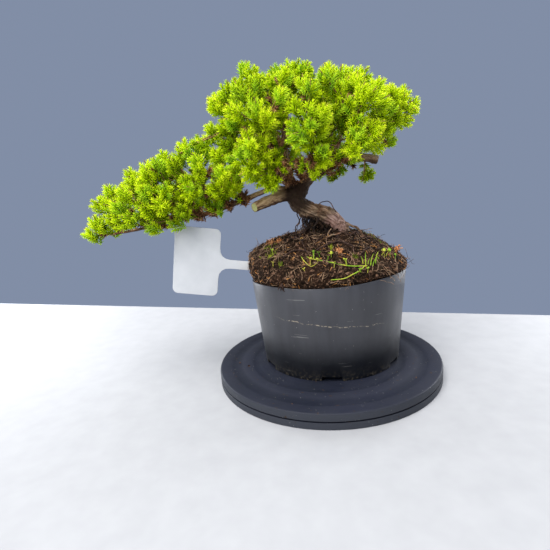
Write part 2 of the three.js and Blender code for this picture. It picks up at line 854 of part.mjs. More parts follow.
function plantLabel() {
  const [headLength, headWidth] = labelHead;
  const side = headWidth / 2;
  const stem = labelStem / 2;
  const outline = new THREE.Shape();
  outline.moveTo(headLength, -stem - labelNeck);
  outline.quadraticCurveTo(headLength, -stem, headLength + labelNeck, -stem);
  outline.lineTo(labelLength - labelStem, -stem);
  outline.lineTo(labelLength, 0);
  outline.lineTo(labelLength - labelStem, stem);
  outline.lineTo(headLength + labelNeck, stem);
  outline.quadraticCurveTo(headLength, stem, headLength, stem + labelNeck);
  outline.lineTo(headLength, side - labelCorner);
  outline.absarc(headLength - labelCorner, side - labelCorner, labelCorner, 0, Math.PI / 2);
  outline.absarc(labelCorner, side - labelCorner, labelCorner, Math.PI / 2, Math.PI);
  outline.absarc(labelCorner, labelCorner - side, labelCorner, Math.PI, 1.5 * Math.PI);
  outline.absarc(headLength - labelCorner, labelCorner - side, labelCorner, 1.5 * Math.PI, 2 * Math.PI);
  const options = { depth: labelThickness, bevelEnabled: false, curveSegments: 4 };
  return labelPlace(new THREE.ExtrudeGeometry(outline, options));
}

function labelSlot() {
  const slot = new THREE.BoxGeometry(labelBuried + 2 * gap, labelStem + 2 * gap, labelThickness + 2 * gap);
  slot.translate(labelLength - labelBuried / 2 + gap, 0, labelThickness / 2);
  return solid(labelPlace(slot));
}

// A grass weed that lies on the soil, rooted at both ends, with upright blades.
const grassRun = [
  onSoil(-20, -34, -5),
  onSoil(-16, -35, 1.2),
  onSoil(2, -38, 1.4),
  onSoil(20, -40, 1.4),
  onSoil(31, -40, 1.2),
  onSoil(35, -40, -5),
];
const grassBlades = [
  { at: 0.5, lean: [3, -2], height: 8 },
  { at: 0.72, lean: [2, 2], height: 10 },
  { at: 0.8, lean: [4, -3], height: 9 },
  { at: 0.88, lean: [6, 1], height: 8 },
];

function weedGrass(fatter) {
  const runner = limb(grassRun, [0.7, 0.6], 4, 6, fatter);
  const run = new THREE.CatmullRomCurve3(grassRun.map(vector));
  const blades = grassBlades.map(({ at, lean, height }) => {
    const foot = run.getPointAt(at);
    const [dx, dy] = lean;
    const points = [
      foot.toArray(),
      [foot.x + 0.3 * dx, foot.y + 0.3 * dy, foot.z + 0.6 * height],
      [foot.x + dx, foot.y + dy, foot.z + height],
    ];
    return limb(points, [0.6, 0.7, 0.4], 3, 2, fatter);
  });
  return joined([runner, ...blades]);
}

// The root ball with plain holes for what stands in it.
function rootBall() {
  return rootBallBlank()
    .subtract(trunkAndLimbs(woodHole))
    .subtract(labelSlot())
    .subtract(weedGrass(weedHole));
}

// Assembly

function finish(color, roughness, metalness = 0) {
  return new THREE.MeshStandardMaterial({ color, roughness, metalness });
}

const bonsai = new THREE.Group();

function place(name, geometry, material) {
  const mesh = new THREE.Mesh(geometry, material);
  mesh.name = name;
  bonsai.add(mesh);
}

place("turntable_base", turntableBase(), finish(0x3b3f4c, 0.6));
place("turntable_top", turntableTop(), finish(0x444858, 0.55));
place("pivot_pin", pivotPin(), finish(0xb8bcc2, 0.3, 1));
place("bearing_cage", bearingCage(), finish(0xe4e2da, 0.5));
ballPlaces.forEach(([x, y], i) => {
  const ball = new THREE.OctahedronGeometry(ballRadius, 1).translate(x, y, raceMiddle);
  place(`bearing_ball_${i + 1}`, ball, finish(0xc4c8cc, 0.15, 1));
});
place("pot", geometryOf(pot()), finish(0x2b2c30, 0.45));

place("root_ball", geometryOf(rootBall()), finish(0x2c1c12, 0.95));
place("trunk_and_limbs", geometryOf(trunkAndLimbs(0)), finish(0x7a5c46, 0.85));
place("plant_label", plantLabel(), finish(0xf1f1ee, 0.45));
place("weed_grass", geometryOf(weedGrass(0)), finish(0x8fae3c, 0.7));
sprays().forEach((body, i) => {
  place(`spray_${twigs[i].name}`, geometryOf(body), finish(0x86b81e, 0.6));
});

export default bonsai;
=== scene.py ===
# %% [markdown]
# # A small juniper bonsai in its nursery pot
# The plant, its pot and the turntable under it come from the CAD model, which says where every piece is.
# This lesson dresses them: finer pieces take the place of the plain ones, and each surface gets its
# material. Everything is in metres, +X to the right, +Y away from the viewer and +Z up.

# %% Load the frame
import math
import random
from itertools import product

import bmesh
import bpy
import numpy as np
from mathutils import Matrix, Vector, noise
from mathutils.kdtree import KDTree


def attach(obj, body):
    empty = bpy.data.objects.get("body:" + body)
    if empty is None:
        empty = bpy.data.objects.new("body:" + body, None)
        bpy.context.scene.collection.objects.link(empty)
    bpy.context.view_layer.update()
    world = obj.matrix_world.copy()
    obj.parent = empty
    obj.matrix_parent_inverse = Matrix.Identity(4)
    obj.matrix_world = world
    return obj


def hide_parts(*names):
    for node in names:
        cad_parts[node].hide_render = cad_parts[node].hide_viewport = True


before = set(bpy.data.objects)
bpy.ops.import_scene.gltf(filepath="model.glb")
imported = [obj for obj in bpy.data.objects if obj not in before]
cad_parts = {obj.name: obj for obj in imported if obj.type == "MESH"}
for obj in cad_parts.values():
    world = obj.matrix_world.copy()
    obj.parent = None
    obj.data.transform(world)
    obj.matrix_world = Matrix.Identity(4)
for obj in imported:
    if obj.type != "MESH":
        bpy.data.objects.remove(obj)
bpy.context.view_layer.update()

MM = 0.001

# %% [markdown]
# ## Camera
# The picture was taken from close by with a wide lens, a little above the pot, with the camera tipped by
# a few degrees. A square frame 36 mm wide with a 25.2 mm lens gives the same widening towards the viewer.

# %% Camera
CAMERA_PLACE = Vector((-43.0, -338.6, 162.5)) * MM
CAMERA_PITCH = math.radians(11.676)
CAMERA_ROLL = math.radians(-4.577)
LENS = 25.2


def turned_to(pitch, roll):
    return Matrix.Rotation(math.pi / 2 - pitch, 4, "X") @ Matrix.Rotation(roll, 4, "Z")


camera_data = bpy.data.cameras.new("camera")
camera_data.lens = LENS
camera_data.sensor_width = 36
camera_data.clip_start = 0.01
camera = bpy.data.objects.new("camera", camera_data)
camera.matrix_world = Matrix.Translation(CAMERA_PLACE) @ turned_to(CAMERA_PITCH, CAMERA_ROLL)
bpy.context.scene.collection.objects.link(camera)
bpy.context.scene.camera = camera

# %% [markdown]
# ## Floor and light
# A pale table top ends a hand's breadth behind the plant, and behind it stands a plain grey-blue
# backdrop. The world draws both the backdrop, near the horizon, and a bright soft sky higher up. Two
# large lamps, above and in front, give the foliage its bright upper sides, and two tall ones at the
# sides, a little behind, draw the pale streaks on the pot.

# %% Light
COOL_WHITE = (0.93, 0.96, 1)


def soft_lamp(name, place, aim, size, watts, colour=(1, 1, 1)):
    data = bpy.data.lights.new(name, "AREA")
    data.shape = "ELLIPSE"
    data.size, data.size_y = size
    data.energy = watts
    data.color = colour
    lamp = bpy.data.objects.new(name, data)
    direction = Vector(aim) - Vector(place)
    lamp.matrix_world = Matrix.Translation(place) @ direction.to_track_quat("-Z", "Y").to_matrix().to_4x4()
    lamp.visible_camera = False
    bpy.context.scene.collection.objects.link(lamp)


soft_lamp("lamp_above", (-0.30, -0.45, 1.20), (0, 0, 0.12), (0.8, 0.8), 17)
soft_lamp("lamp_front", (-0.75, -0.95, 0.75), (0, 0, 0.12), (0.9, 0.9), 11)
soft_lamp("lamp_left", (-0.66, 0.50, 0.26), (0, 0, 0.1), (0.45, 0.6), 5.5, COOL_WHITE)
soft_lamp("lamp_right", (0.76, 0.38, 0.26), (0, 0, 0.1), (0.45, 0.6), 7.5, COOL_WHITE)

print("lamps", [lamp.name for lamp in bpy.data.lights])

# %% Backdrop and sky
BACKDROP = (0.43, (0.205, 0.250, 0.352, 1))
BRIGHT_SKY = (0.76, (1.0, 1.0, 1.0, 1))
SKY_STRENGTH = 1.08

world = bpy.data.worlds.new("sky")
world.use_nodes = True
sky = world.node_tree
direction = sky.nodes.new("ShaderNodeTexCoord").outputs["Object"]
split = sky.nodes.new("ShaderNodeSeparateXYZ")
sky.links.new(direction, split.inputs["Vector"])
height = sky.nodes.new("ShaderNodeValToRGB")
sky.links.new(split.outputs["Z"], height.inputs["Fac"])
for element, (position, colour) in zip(height.color_ramp.elements, (BACKDROP, BRIGHT_SKY)):
    element.position = position
    element.color = colour
sky.links.new(height.outputs["Color"], sky.nodes["Background"].inputs["Color"])
sky.nodes["Background"].inputs["Strength"].default_value = SKY_STRENGTH
bpy.context.scene.world = world
bpy.context.scene.view_settings.view_transform = "Standard"

# %% Floor
FLOOR_TURN = math.radians(-19.3)
FLOOR_SIZE = (3.2, 2.4)
FLOOR_EDGE = 0.185
FLOOR_DROP = 0.0002

away = Vector((-math.sin(FLOOR_TURN), math.cos(FLOOR_TURN), 0))
middle = Vector((0, FLOOR_EDGE, -FLOOR_DROP)) - away * FLOOR_SIZE[1] / 2
bpy.ops.mesh.primitive_plane_add(size=1, location=middle, rotation=(0, 0, FLOOR_TURN))
floor = bpy.context.object
floor.name = "floor"
floor.scale = (*FLOOR_SIZE, 1)
bpy.ops.object.transform_apply(location=True, rotation=True, scale=True)

# %% [markdown]
# ## Helpers for materials
# A material here is a Principled shader fed by a few nodes. The helpers below add a node, link what they
# are given and return its output, so that a material reads from its first texture to its shader.

# %% Material helpers
def feed(tree, socket, source):
    """Links the socket to another node's output, or sets it to a value."""
    if isinstance(source, bpy.types.NodeSocket):
        tree.links.new(source, socket)
    else:
        socket.default_value = source


def add_node(tree, kind, links=None, **settings):
    """A node with its settings, and each input either linked to another node's output or set to a value."""
    node = tree.nodes.new(kind)
    for name, value in settings.items():
        setattr(node, name, value)
    for name, source in (links or {}).items():
        feed(tree, node.inputs[name], source)
    return node


def ramp(tree, factor, stops):
    """A colour ramp: stops are (position, colour or grey value)."""
    node = tree.nodes.new("ShaderNodeValToRGB")
    tree.links.new(factor, node.inputs["Fac"])
    elements = node.color_ramp.elements
    while len(elements) < len(stops):
        elements.new(0.5)
    for element, (position, value) in zip(elements, stops):
        element.position = position
        element.color = (*value, 1) if isinstance(value, tuple) else (value, value, value, 1)
    return node.outputs["Color"]


def blend_colours(tree, factor, first, second, mode="MIX"):
    """Mixes two colours, each a socket or (red, green, blue), by the factor."""
    node = add_node(tree, "ShaderNodeMix", data_type="RGBA", blend_type=mode)
    for name, source in (("Factor", factor), ("A", first), ("B", second)):
        socket = next(s for s in node.inputs if s.name == name and s.enabled)
        feed(tree, socket, (*source, 1) if isinstance(source, tuple) else source)
    return next(s for s in node.outputs if s.enabled)


def maths(tree, operation, first, second=0.0):
    node = add_node(tree, "ShaderNodeMath", operation=operation)
    for socket, source in zip(node.inputs, (first, second)):
        feed(tree, socket, source)
    return node.outputs[0]


def times(tree, first, second):
    return maths(tree, "MULTIPLY", first, second)


def axes_of(tree, vector):
    """The vector's X, Y and Z, as three outputs."""
    return add_node(tree, "ShaderNodeSeparateXYZ", {"Vector": vector}).outputs


def stretch(tree, place, scale, turn=(0, 0, 0)):
    node = add_node(tree, "ShaderNodeMapping", {"Vector": place, "Scale": scale, "Rotation": turn})
    return node.outputs["Vector"]


def noise_mask(tree, place, scale, detail=4.0, roughness=0.55):
    links = {"Vector": place, "Scale": scale, "Detail": detail, "Roughness": roughness}
    return add_node(tree, "ShaderNodeTexNoise", links).outputs["Fac"]


def start_material(name):
    material = bpy.data.materials.new(name)
    material.use_nodes = True
    tree = material.node_tree
    shader = tree.nodes["Principled BSDF"]
    place = tree.nodes.new("ShaderNodeTexCoord").outputs["Object"]
    return material, tree, shader, place


def finish_surface(tree, shader, colour, roughness, specular=0.5):
    """Gives the shader its colour and roughness, linked or set, and its specular level."""
    feed(tree, shader.inputs["Base Color"], colour)
    feed(tree, shader.inputs["Roughness"], roughness)
    shader.inputs["Specular IOR Level"].default_value = specular


def bump(tree, shader, height, strength, distance):
    links = {"Height": height, "Strength": strength, "Distance": distance}
    tree.links.new(add_node(tree, "ShaderNodeBump", links).outputs["Normal"], shader.inputs["Normal"])


# %% Floor material
def floor_material():
    material, tree, shader, place = start_material("pale_floor")
    stops = [(0.3, (0.335, 0.338, 0.353)), (0.7, (0.360, 0.363, 0.378))]
    finish_surface(tree, shader, ramp(tree, noise_mask(tree, place, 60, 2), stops), 0.7)
    return material


floor.data.materials.append(floor_material())

# %% [markdown]
# ## Shared effects
# Dust with its specks, and scratches, appear on the turntable and on the pot alike, so each is a node group,
# built once and placed in both materials with values of its own. Fine grain is drawn in each material by
# itself.

# %% Node groups
def start_group(name, inputs, outputs):
    group = bpy.data.node_groups.new(name, "ShaderNodeTree")
    for socket_name, kind, value in inputs:
        socket = group.interface.new_socket(socket_name, in_out="INPUT", socket_type=kind)
        if value is not None:
            socket.default_value = value
    for socket_name, kind in outputs:
        group.interface.new_socket(socket_name, in_out="OUTPUT", socket_type=kind)
    return group, group.nodes.new("NodeGroupInput"), group.nodes.new("NodeGroupOutput")


def dust_group():
    """White specks and a cloudy film, as a mask over the surface."""
    inputs = [
        ("Place", "NodeSocketVector", None),
        ("Speck scale", "NodeSocketFloat", 300.0),
        ("Speck size", "NodeSocketFloat", 0.1),
        ("Film", "NodeSocketFloat", 0.2),
    ]
    group, start, end = start_group("dust", inputs, [("Mask", "NodeSocketFloat")])
    links = {"Vector": start.outputs["Place"], "Scale": start.outputs["Speck scale"]}
    cells = add_node(group, "ShaderNodeTexVoronoi", links)
    speck = maths(group, "LESS_THAN", cells.outputs["Distance"], start.outputs["Speck size"])
    pick = add_node(group, "ShaderNodeSeparateColor", {"Color": cells.outputs["Color"]}).outputs[0]
    chosen = times(group, speck, maths(group, "GREATER_THAN", pick, 0.72))
    cloud = noise_mask(group, start.outputs["Place"], 22, 6, 0.6)
    film = times(group, maths(group, "POWER", cloud, 2.2), start.outputs["Film"])
    group.links.new(maths(group, "MAXIMUM", chosen, film), end.inputs["Mask"])
    return group


def scratch_group():
    """Thin scratches that run one way, broken up by a slow noise."""
    inputs = [
        ("Place", "NodeSocketVector", None),
        ("Stretch", "NodeSocketVector", (30, 30, 900)),
        ("Amount", "NodeSocketFloat", 0.66),
    ]
    group, start, end = start_group("scratches", inputs, [("Mask", "NodeSocketFloat")])
    mapping = add_node(
        group, "ShaderNodeMapping", {"Vector": start.outputs["Place"], "Scale": start.outputs["Stretch"]}
    )
    lines = noise_mask(group, mapping.outputs["Vector"], 1.0, 3, 0.5)
    thin = maths(group, "GREATER_THAN", lines, start.outputs["Amount"])
    patches = maths(group, "GREATER_THAN", noise_mask(group, start.outputs["Place"], 40, 2), 0.52)
    group.links.new(times(group, thin, patches), end.inputs["Mask"])
    return group


DUST = dust_group()
SCRATCHES = scratch_group()


def use_group(tree, group, place, **values):
    node = tree.nodes.new("ShaderNodeGroup")
    node.node_tree = group
    tree.links.new(place, node.inputs["Place"])
    for name, value in values.items():
        node.inputs[name.replace("_", " ")].default_value = value
    return node.outputs["Mask"]


print("groups", [group.name for group in bpy.data.node_groups])

# %% [markdown]
# ## Helpers for shapes
# A round piece is made as on a lathe: a circle is added, and its face is extruded, scaled and moved from
# one point of the profile to the next. A long bent piece, such as a limb, is a curve with a radius at
# each point.

# %% Shape helpers
def start_clean():
    if bpy.context.object is not None and bpy.context.object.mode != "OBJECT":
        bpy.ops.object.mode_set(mode="OBJECT")
    bpy.ops.object.select_all(action="DESELECT")


def only(piece):
    start_clean()
    piece.select_set(True)
    bpy.context.view_layer.objects.active = piece
    return piece


def lathe(name, profile, corners):
    """A piece turned round the Z axis. Each point of its profile is (radius, height), in mm."""
    start_clean()
    radius, height = profile[0]
    bpy.ops.mesh.primitive_circle_add(
        vertices=corners, radius=radius * MM, fill_type="NGON", location=(0, 0, height * MM)
    )
    piece = bpy.context.object
    piece.name = name
    bpy.ops.object.transform_apply(location=True, rotation=True, scale=True)
    bpy.ops.object.mode_set(mode="EDIT")
    bpy.ops.mesh.select_all(action="SELECT")
    for next_radius, next_height in profile[1:]:
        lift = (0, 0, (next_height - height) * MM)
        bpy.ops.mesh.extrude_region_move(TRANSFORM_OT_translate={"value": lift})
        share = next_radius / radius
        bpy.ops.transform.resize(value=(share, share, 1), center_override=(0, 0, next_height * MM))
        radius, height = next_radius, next_height
    bpy.ops.mesh.select_all(action="SELECT")
    bpy.ops.mesh.normals_make_consistent(inside=False)
    bpy.ops.object.mode_set(mode="OBJECT")
    return piece


def add_modifier(piece, kind, **settings):
    only(piece)
    modifier = piece.modifiers.new(kind.lower(), kind)
    for name, value in settings.items():
        setattr(modifier, name, value)
    bpy.ops.object.modifier_apply(modifier=modifier.name)


def bevel_edges(piece, width, segments, degrees):
    """Rounds the edges that are sharper than the angle. The width is in mm."""
    limit = {"limit_method": "ANGLE", "angle_limit": math.radians(degrees)}
    add_modifier(piece, "BEVEL", width=width * MM, segments=segments, **limit)


def smooth(piece, degrees=35):
    only(piece)
    bpy.ops.object.shade_smooth_by_angle(angle=math.radians(degrees))


def finish_piece(piece, body, slot, *nodes):
    """Lets the piece ride on a CAD body, and lets it stand for the CAD nodes given. The slot is not used."""
    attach(piece, body)
    if nodes:
        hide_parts(*nodes)
    piece.data.calc_loop_triangles()
    print(piece.name, len(piece.data.loop_triangles), "triangles")


def open_edges(piece):
    shape = bmesh.new()
    shape.from_mesh(piece.data)
    count = sum(1 for edge in shape.edges if not edge.is_manifold)
    shape.free()
    return count


# %% [markdown]
# ## Turntable
# Two discs of one size with a thin gap between them. The upper one has a round edge and two shallow rings
# sunk in its face. The slopes of the rings are wide, because a steep one would mirror the bright sky as a
# hard line. The other edges get a small bevel, since a sharp edge never catches the light.

# %% Turntable
TABLE_RADIUS = 100
BASE_HEIGHT = 5.2
TOP_UNDERSIDE = 6.4
TOP_HEIGHT = 12.6
RING_FLOOR = 11.5
RINGS = [(90.6, 79.0), (71.4, 60.4)]
RING_SLOPE = 2.8
EDGE_ROUND = 1.5
RACE = (41.4, 48.6)
RACE_FLOOR = 2.5
RACE_CEILING = 9.1
PIN_HOLE = 4.3
PIN_SEAT = 1.6
PIN_CEILING = 11.2
DISC_MIDDLE = 1
TABLE_CORNERS = 160
SMALL_BEVEL = 0.25

base_profile = [
    (DISC_MIDDLE, 0),
    (TABLE_RADIUS, 0),
    (TABLE_RADIUS, BASE_HEIGHT),
    (RACE[1], BASE_HEIGHT),
    (RACE[1], RACE_FLOOR),
    (RACE[0], RACE_FLOOR),
    (RACE[0], BASE_HEIGHT),
    (PIN_HOLE, BASE_HEIGHT),
    (PIN_HOLE, PIN_SEAT),
    (DISC_MIDDLE, PIN_SEAT),
]
top_profile = [
    (DISC_MIDDLE, PIN_CEILING),
    (PIN_HOLE, PIN_CEILING),
    (PIN_HOLE, TOP_UNDERSIDE),
    (RACE[0], TOP_UNDERSIDE),
    (RACE[0], RACE_CEILING),
    (RACE[1], RACE_CEILING),
    (RACE[1], TOP_UNDERSIDE),
    (TABLE_RADIUS, TOP_UNDERSIDE),
    (TABLE_RADIUS, TOP_HEIGHT - EDGE_ROUND),
    (TABLE_RADIUS - 0.3 * EDGE_ROUND, TOP_HEIGHT - 0.3 * EDGE_ROUND),
    (TABLE_RADIUS - EDGE_ROUND, TOP_HEIGHT),
]
for outer, inner in RINGS:
    top_profile += [(outer, TOP_HEIGHT), (outer - RING_SLOPE, RING_FLOOR)]
    top_profile += [(inner + RING_SLOPE, RING_FLOOR), (inner, TOP_HEIGHT)]
top_profile.append((DISC_MIDDLE, TOP_HEIGHT))
table_base = lathe("turntable_lower_disc", base_profile, TABLE_CORNERS)
table_top = lathe("turntable_upper_disc", top_profile, TABLE_CORNERS)
for disc in (table_base, table_top):
    bevel_edges(disc, SMALL_BEVEL, 2, 40)
    smooth(disc)
    add_modifier(disc, "WEIGHTED_NORMAL", keep_sharp=True)
    print(disc.name, "open edges", open_edges(disc))

# %% [markdown]
# The plastic is dark blue-grey with a fine grain. The flat rings between the grooves are painted paler, a
# painted reflection, and the side is painted paler as painted light. Peat dust lies on it in specks and in a
# thin film, and scratches follow the rim.

# %% Turntable material
def turntable_plastic():
    material, tree, shader, place = start_material("turntable_plastic")
    tone = noise_mask(tree, place, 35, 5)
    colour = ramp(tree, tone, [(0.3, (0.005, 0.007, 0.014)), (0.7, (0.008, 0.010, 0.021))])
    axes = axes_of(tree, place)
    squares = [times(tree, axes[name], axes[name]) for name in "XY"]
    radius = maths(tree, "POWER", maths(tree, "ADD", *squares), 0.5)
    out = times(tree, radius, 1 / (TABLE_RADIUS * MM))
    inner_land = [(0.60, 0.2), (0.62, 0.0), (0.69, 0.0), (0.715, 1.0)]
    outer_land = [(0.79, 1.0), (0.815, 0.0), (0.88, 0.0), (0.905, 0.7)]
    # Painted reflection: the flat rings between the grooves are painted paler.
    painted_land_reflection = times(tree, ramp(tree, out, inner_land + outer_land), 0.5)
    colour = blend_colours(tree, painted_land_reflection, colour, (0.019, 0.021, 0.034))
    # Painted light: the disc's side is painted paler.
    side = times(tree, ramp(tree, out, [(0.993, 0.0), (0.999, 1.0)]), 0.8)
    colour = blend_colours(tree, side, colour, (0.040, 0.044, 0.054))
    dust = use_group(tree, DUST, place, Speck_scale=420.0, Speck_size=0.09, Film=0.04)
    colour = blend_colours(tree, dust, colour, (0.30, 0.29, 0.28))
    dirt = maths(tree, "GREATER_THAN", noise_mask(tree, place, 260, 3), 0.69)
    colour = blend_colours(tree, dirt, colour, (0.035, 0.022, 0.015))
    scratch = use_group(tree, SCRATCHES, place, Stretch=(700, 90, 700), Amount=0.72)
    colour = blend_colours(tree, times(tree, scratch, 0.2), colour, (0.16, 0.17, 0.20))
    rough = ramp(tree, noise_mask(tree, place, 90, 4), [(0.3, 0.50), (0.7, 0.64)])
    finish_surface(tree, shader, colour, rough, 0.17)
    bump(tree, shader, noise_mask(tree, place, 2600, 2), 0.25, 0.00015)
    return material


TABLE_PLASTIC = turntable_plastic()
for disc, body, node in ((table_base, "stand", "turntable_base"), (table_top, "plant", "turntable_top")):
    disc.data.materials.append(TABLE_PLASTIC)
    finish_piece(disc, body, "dark_plastic", node)

# %% Bearing materials
def bearing_material(name, colour, metal, low, high):
    material, tree, shader, place = start_material(name)
    grain = noise_mask(tree, stretch(tree, place, (900, 900, 60)), 1.0, 3)
    pale = tuple(min(1.0, 1.25 * value) for value in colour)
    rough = ramp(tree, grain, [(0.3, low), (0.7, high)])
    finish_surface(tree, shader, ramp(tree, grain, [(0.3, colour), (0.7, pale)]), rough)
    shader.inputs["Metallic"].default_value = metal
    return material


def dress_node(name, material):
    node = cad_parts[name]
    node.data.materials.clear()
    node.data.materials.append(material)


BEARING_STEEL = bearing_material("bearing_steel", (0.50, 0.51, 0.53), 1.0, 0.18, 0.32)
CAGE_NYLON = bearing_material("cage_nylon", (0.66, 0.64, 0.58), 0.0, 0.40, 0.55)
BALLS = [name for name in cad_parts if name.startswith("bearing_ball")]
for name in ["pivot_pin"] + BALLS:
    dress_node(name, BEARING_STEEL)
dress_node("bearing_cage", CAGE_NYLON)
print("bearing", len(BALLS), "balls")

# %% [markdown]
# ## Pot
# A black nursery pot was cut down with a knife, so its rim rises and falls on the way round. The wall is
# turned on the lathe, its upper rings are then lifted to the wavy rim, and boxes cut the drain notches in
# its foot.

# %% Pot
POT_AXIS = Vector((4.6, 7.4))
POT_FOOT = 12.9
POT_FOOT_RADIUS = 61.8
POT_SLOPE = 0.09
POT_WALL = 1.4
POT_FLOOR = 3
POT_CORNERS = 168
NOTCHES = 6
NOTCH_WIDTH = 16
NOTCH_HEIGHT = 3.6
NOTCH_DEPTH = 20
NOTCH_TURN = math.radians(-98)
RIM_MEAN = 90.2
RIM_TILT = 3.2
WALL_RINGS = (0.03, 0.2, 0.4, 0.6, 0.8, 1)


def rim_height(turn):
    """The cut rim's height: it tilts once and waves three times on its way round."""
    tilt = RIM_TILT * math.cos(turn + math.radians(50))
    wave = math.cos(3 * (turn + math.radians(95)))
    return RIM_MEAN + tilt - wave


def pot_radius(height):
    return POT_FOOT_RADIUS + POT_SLOPE * (height - POT_FOOT)


def lift_rim(pot, floor_top):
    """Stretches the wall, ring by ring, from the flat rim of the lathe to the wavy one."""
    for vertex in pot.data.vertices:
        height = vertex.co.z / MM
        share = (height - floor_top) / (RIM_MEAN - floor_top)
        if share > 0.01:
            turn = math.atan2(vertex.co.y, vertex.co.x)
            lifted = height + share * (rim_height(turn) - RIM_MEAN)
            grow = 1 + POT_SLOPE * (lifted - height) * MM / vertex.co.xy.length
            vertex.co = Vector((vertex.co.x * grow, vertex.co.y * grow, lifted * MM))


def cut_notches(pot):
    for i in range(NOTCHES):
        start_clean()
        bpy.ops.mesh.primitive_cube_add(size=1)
        block = bpy.context.object
        block.data.transform(Matrix.Diagonal((NOTCH_DEPTH * MM, NOTCH_WIDTH * MM, 2 * NOTCH_HEIGHT * MM, 1)))
        block.data.transform(Matrix.Translation((POT_FOOT_RADIUS * MM, 0, POT_FOOT * MM)))
        block.data.transform(Matrix.Rotation(NOTCH_TURN + i * 2 * math.pi / NOTCHES, 4, "Z"))
        add_modifier(pot, "BOOLEAN", operation="DIFFERENCE", solver="EXACT", object=block)
        bpy.data.objects.remove(block)


def make_pot():
    floor_under = POT_FOOT + POT_FLOOR
    floor_top = floor_under + POT_WALL
    walls = [POT_FOOT + (RIM_MEAN - POT_FOOT) * share for share in WALL_RINGS]
    profile = [(1, floor_under), (pot_radius(floor_under) - POT_WALL, floor_under)]
    profile += [(POT_FOOT_RADIUS - POT_WALL, POT_FOOT), (POT_FOOT_RADIUS, POT_FOOT)]
    profile += [(pot_radius(height), height) for height in walls]
    profile += [(pot_radius(height) - POT_WALL, height) for height in reversed(walls[1:])]
    profile += [(pot_radius(floor_top) - POT_WALL, floor_top), (1, floor_top)]
    pot = lathe("nursery_pot", profile, POT_CORNERS)
    lift_rim(pot, floor_top)
    cut_notches(pot)
    pot.data.transform(Matrix.Translation((POT_AXIS.x * MM, POT_AXIS.y * MM, 0)))
    bevel_edges(pot, 0.3, 2, 50)
    smooth(pot)
    return pot


pot = make_pot()
print("pot", len(pot.data.polygons), "faces, open edges", open_edges(pot))

# %% [markdown]
# The pot's plastic is dark grey under its dust, and low down it is painted near black, as painted shade and a
# painted reflection of the dark turntable. A crate's edge has scraped a pale, broken line across its front,
# and grains of soil cling to its foot.

# %% Pot material
LINE_HEIGHT = 0.0577
LINE_FALL = -0.105
LINE_WAVE = 0.0045


def scraped_line(tree, centred):
    """A mask: the broken, wavy line across the front of the pot."""
    axes = axes_of(tree, centred)
    fall = times(tree, axes["X"], LINE_FALL)
    wave = times(tree, noise_mask(tree, stretch(tree, centred, (110, 110, 1)), 1.0, 3), LINE_WAVE)
    line = maths(tree, "ADD", maths(tree, "ADD", fall, wave), LINE_HEIGHT)
    away = maths(tree, "ABSOLUTE", maths(tree, "SUBTRACT", axes["Z"], line))
    thin = ramp(tree, times(tree, away, 1000.0), [(0.15, 1.0), (0.5, 0.0)])
    flakes = noise_mask(tree, stretch(tree, centred, (420, 420, 260)), 1.0, 5, 0.7)
    broken = ramp(tree, flakes, [(0.45, 0.0), (0.60, 0.7)])
    front = ramp(tree, axes["Y"], [(0.0, 1.0), (0.01, 0.0)])
    aside = maths(tree, "ABSOLUTE", maths(tree, "ADD", axes["X"], 0.006))
    middle = ramp(tree, aside, [(0.036, 1.0), (0.044, 0.0)])
    return times(tree, times(tree, thin, broken), times(tree, front, middle))


def pot_plastic():
    material, tree, shader, place = start_material("pot_plastic")
    shift = {"Vector": place, "Location": (-POT_AXIS.x * MM, -POT_AXIS.y * MM, 0)}
    centred = add_node(tree, "ShaderNodeMapping", shift).outputs["Vector"]
    height = axes_of(tree, centred)["Z"]
    streaks = noise_mask(tree, stretch(tree, centred, (160, 160, 12)), 1.0, 4)
    colour = ramp(tree, streaks, [(0.3, (0.021, 0.022, 0.028)), (0.7, (0.032, 0.034, 0.042))])
    dust = use_group(tree, DUST, centred, Speck_scale=330.0, Speck_size=0.07, Film=0.10)
    colour = blend_colours(tree, dust, colour, (0.34, 0.33, 0.32))
    # Painted shade and painted reflection: the lower wall is multiplied to near black, as the dark turntable
    # darkens it.
    upper = ramp(tree, height, [(0.027, (0.02, 0.04, 0.08)), (0.049, (1.0, 1.0, 1.0))])
    colour = blend_colours(tree, 1.0, colour, upper, "MULTIPLY")
    foot = ramp(tree, height, [(0.0130, 0.9), (0.0158, 0.15), (0.024, 0.0)])
    grains = ramp(tree, noise_mask(tree, centred, 420, 5, 0.7), [(0.50, 0.0), (0.62, 1.0)])
    colour = blend_colours(tree, times(tree, foot, grains), colour, (0.22, 0.18, 0.12))
    rubbed = use_group(tree, SCRATCHES, centred, Stretch=(26, 26, 760), Amount=0.70)
    colour = blend_colours(tree, times(tree, rubbed, 0.35), colour, (0.30, 0.29, 0.27))
    colour = blend_colours(tree, scraped_line(tree, centred), colour, (0.50, 0.42, 0.30))
    rough = ramp(tree, noise_mask(tree, centred, 60, 5), [(0.3, 0.35), (0.7, 0.47)])
    finish_surface(tree, shader, colour, rough, 0.65)
    bump(tree, shader, noise_mask(tree, centred, 900, 3), 0.12, 0.0002)
    return material


pot.data.materials.append(pot_plastic())
finish_piece(pot, "plant", "pot_plastic", "pot")

# %% [markdown]
# ## Limbs
# The wood's skeleton is the CAD model's: each limb has the points that it passes through and its radii
# from start to end, in millimetres. A smooth curve through the points gives the path, cut into even
# steps.

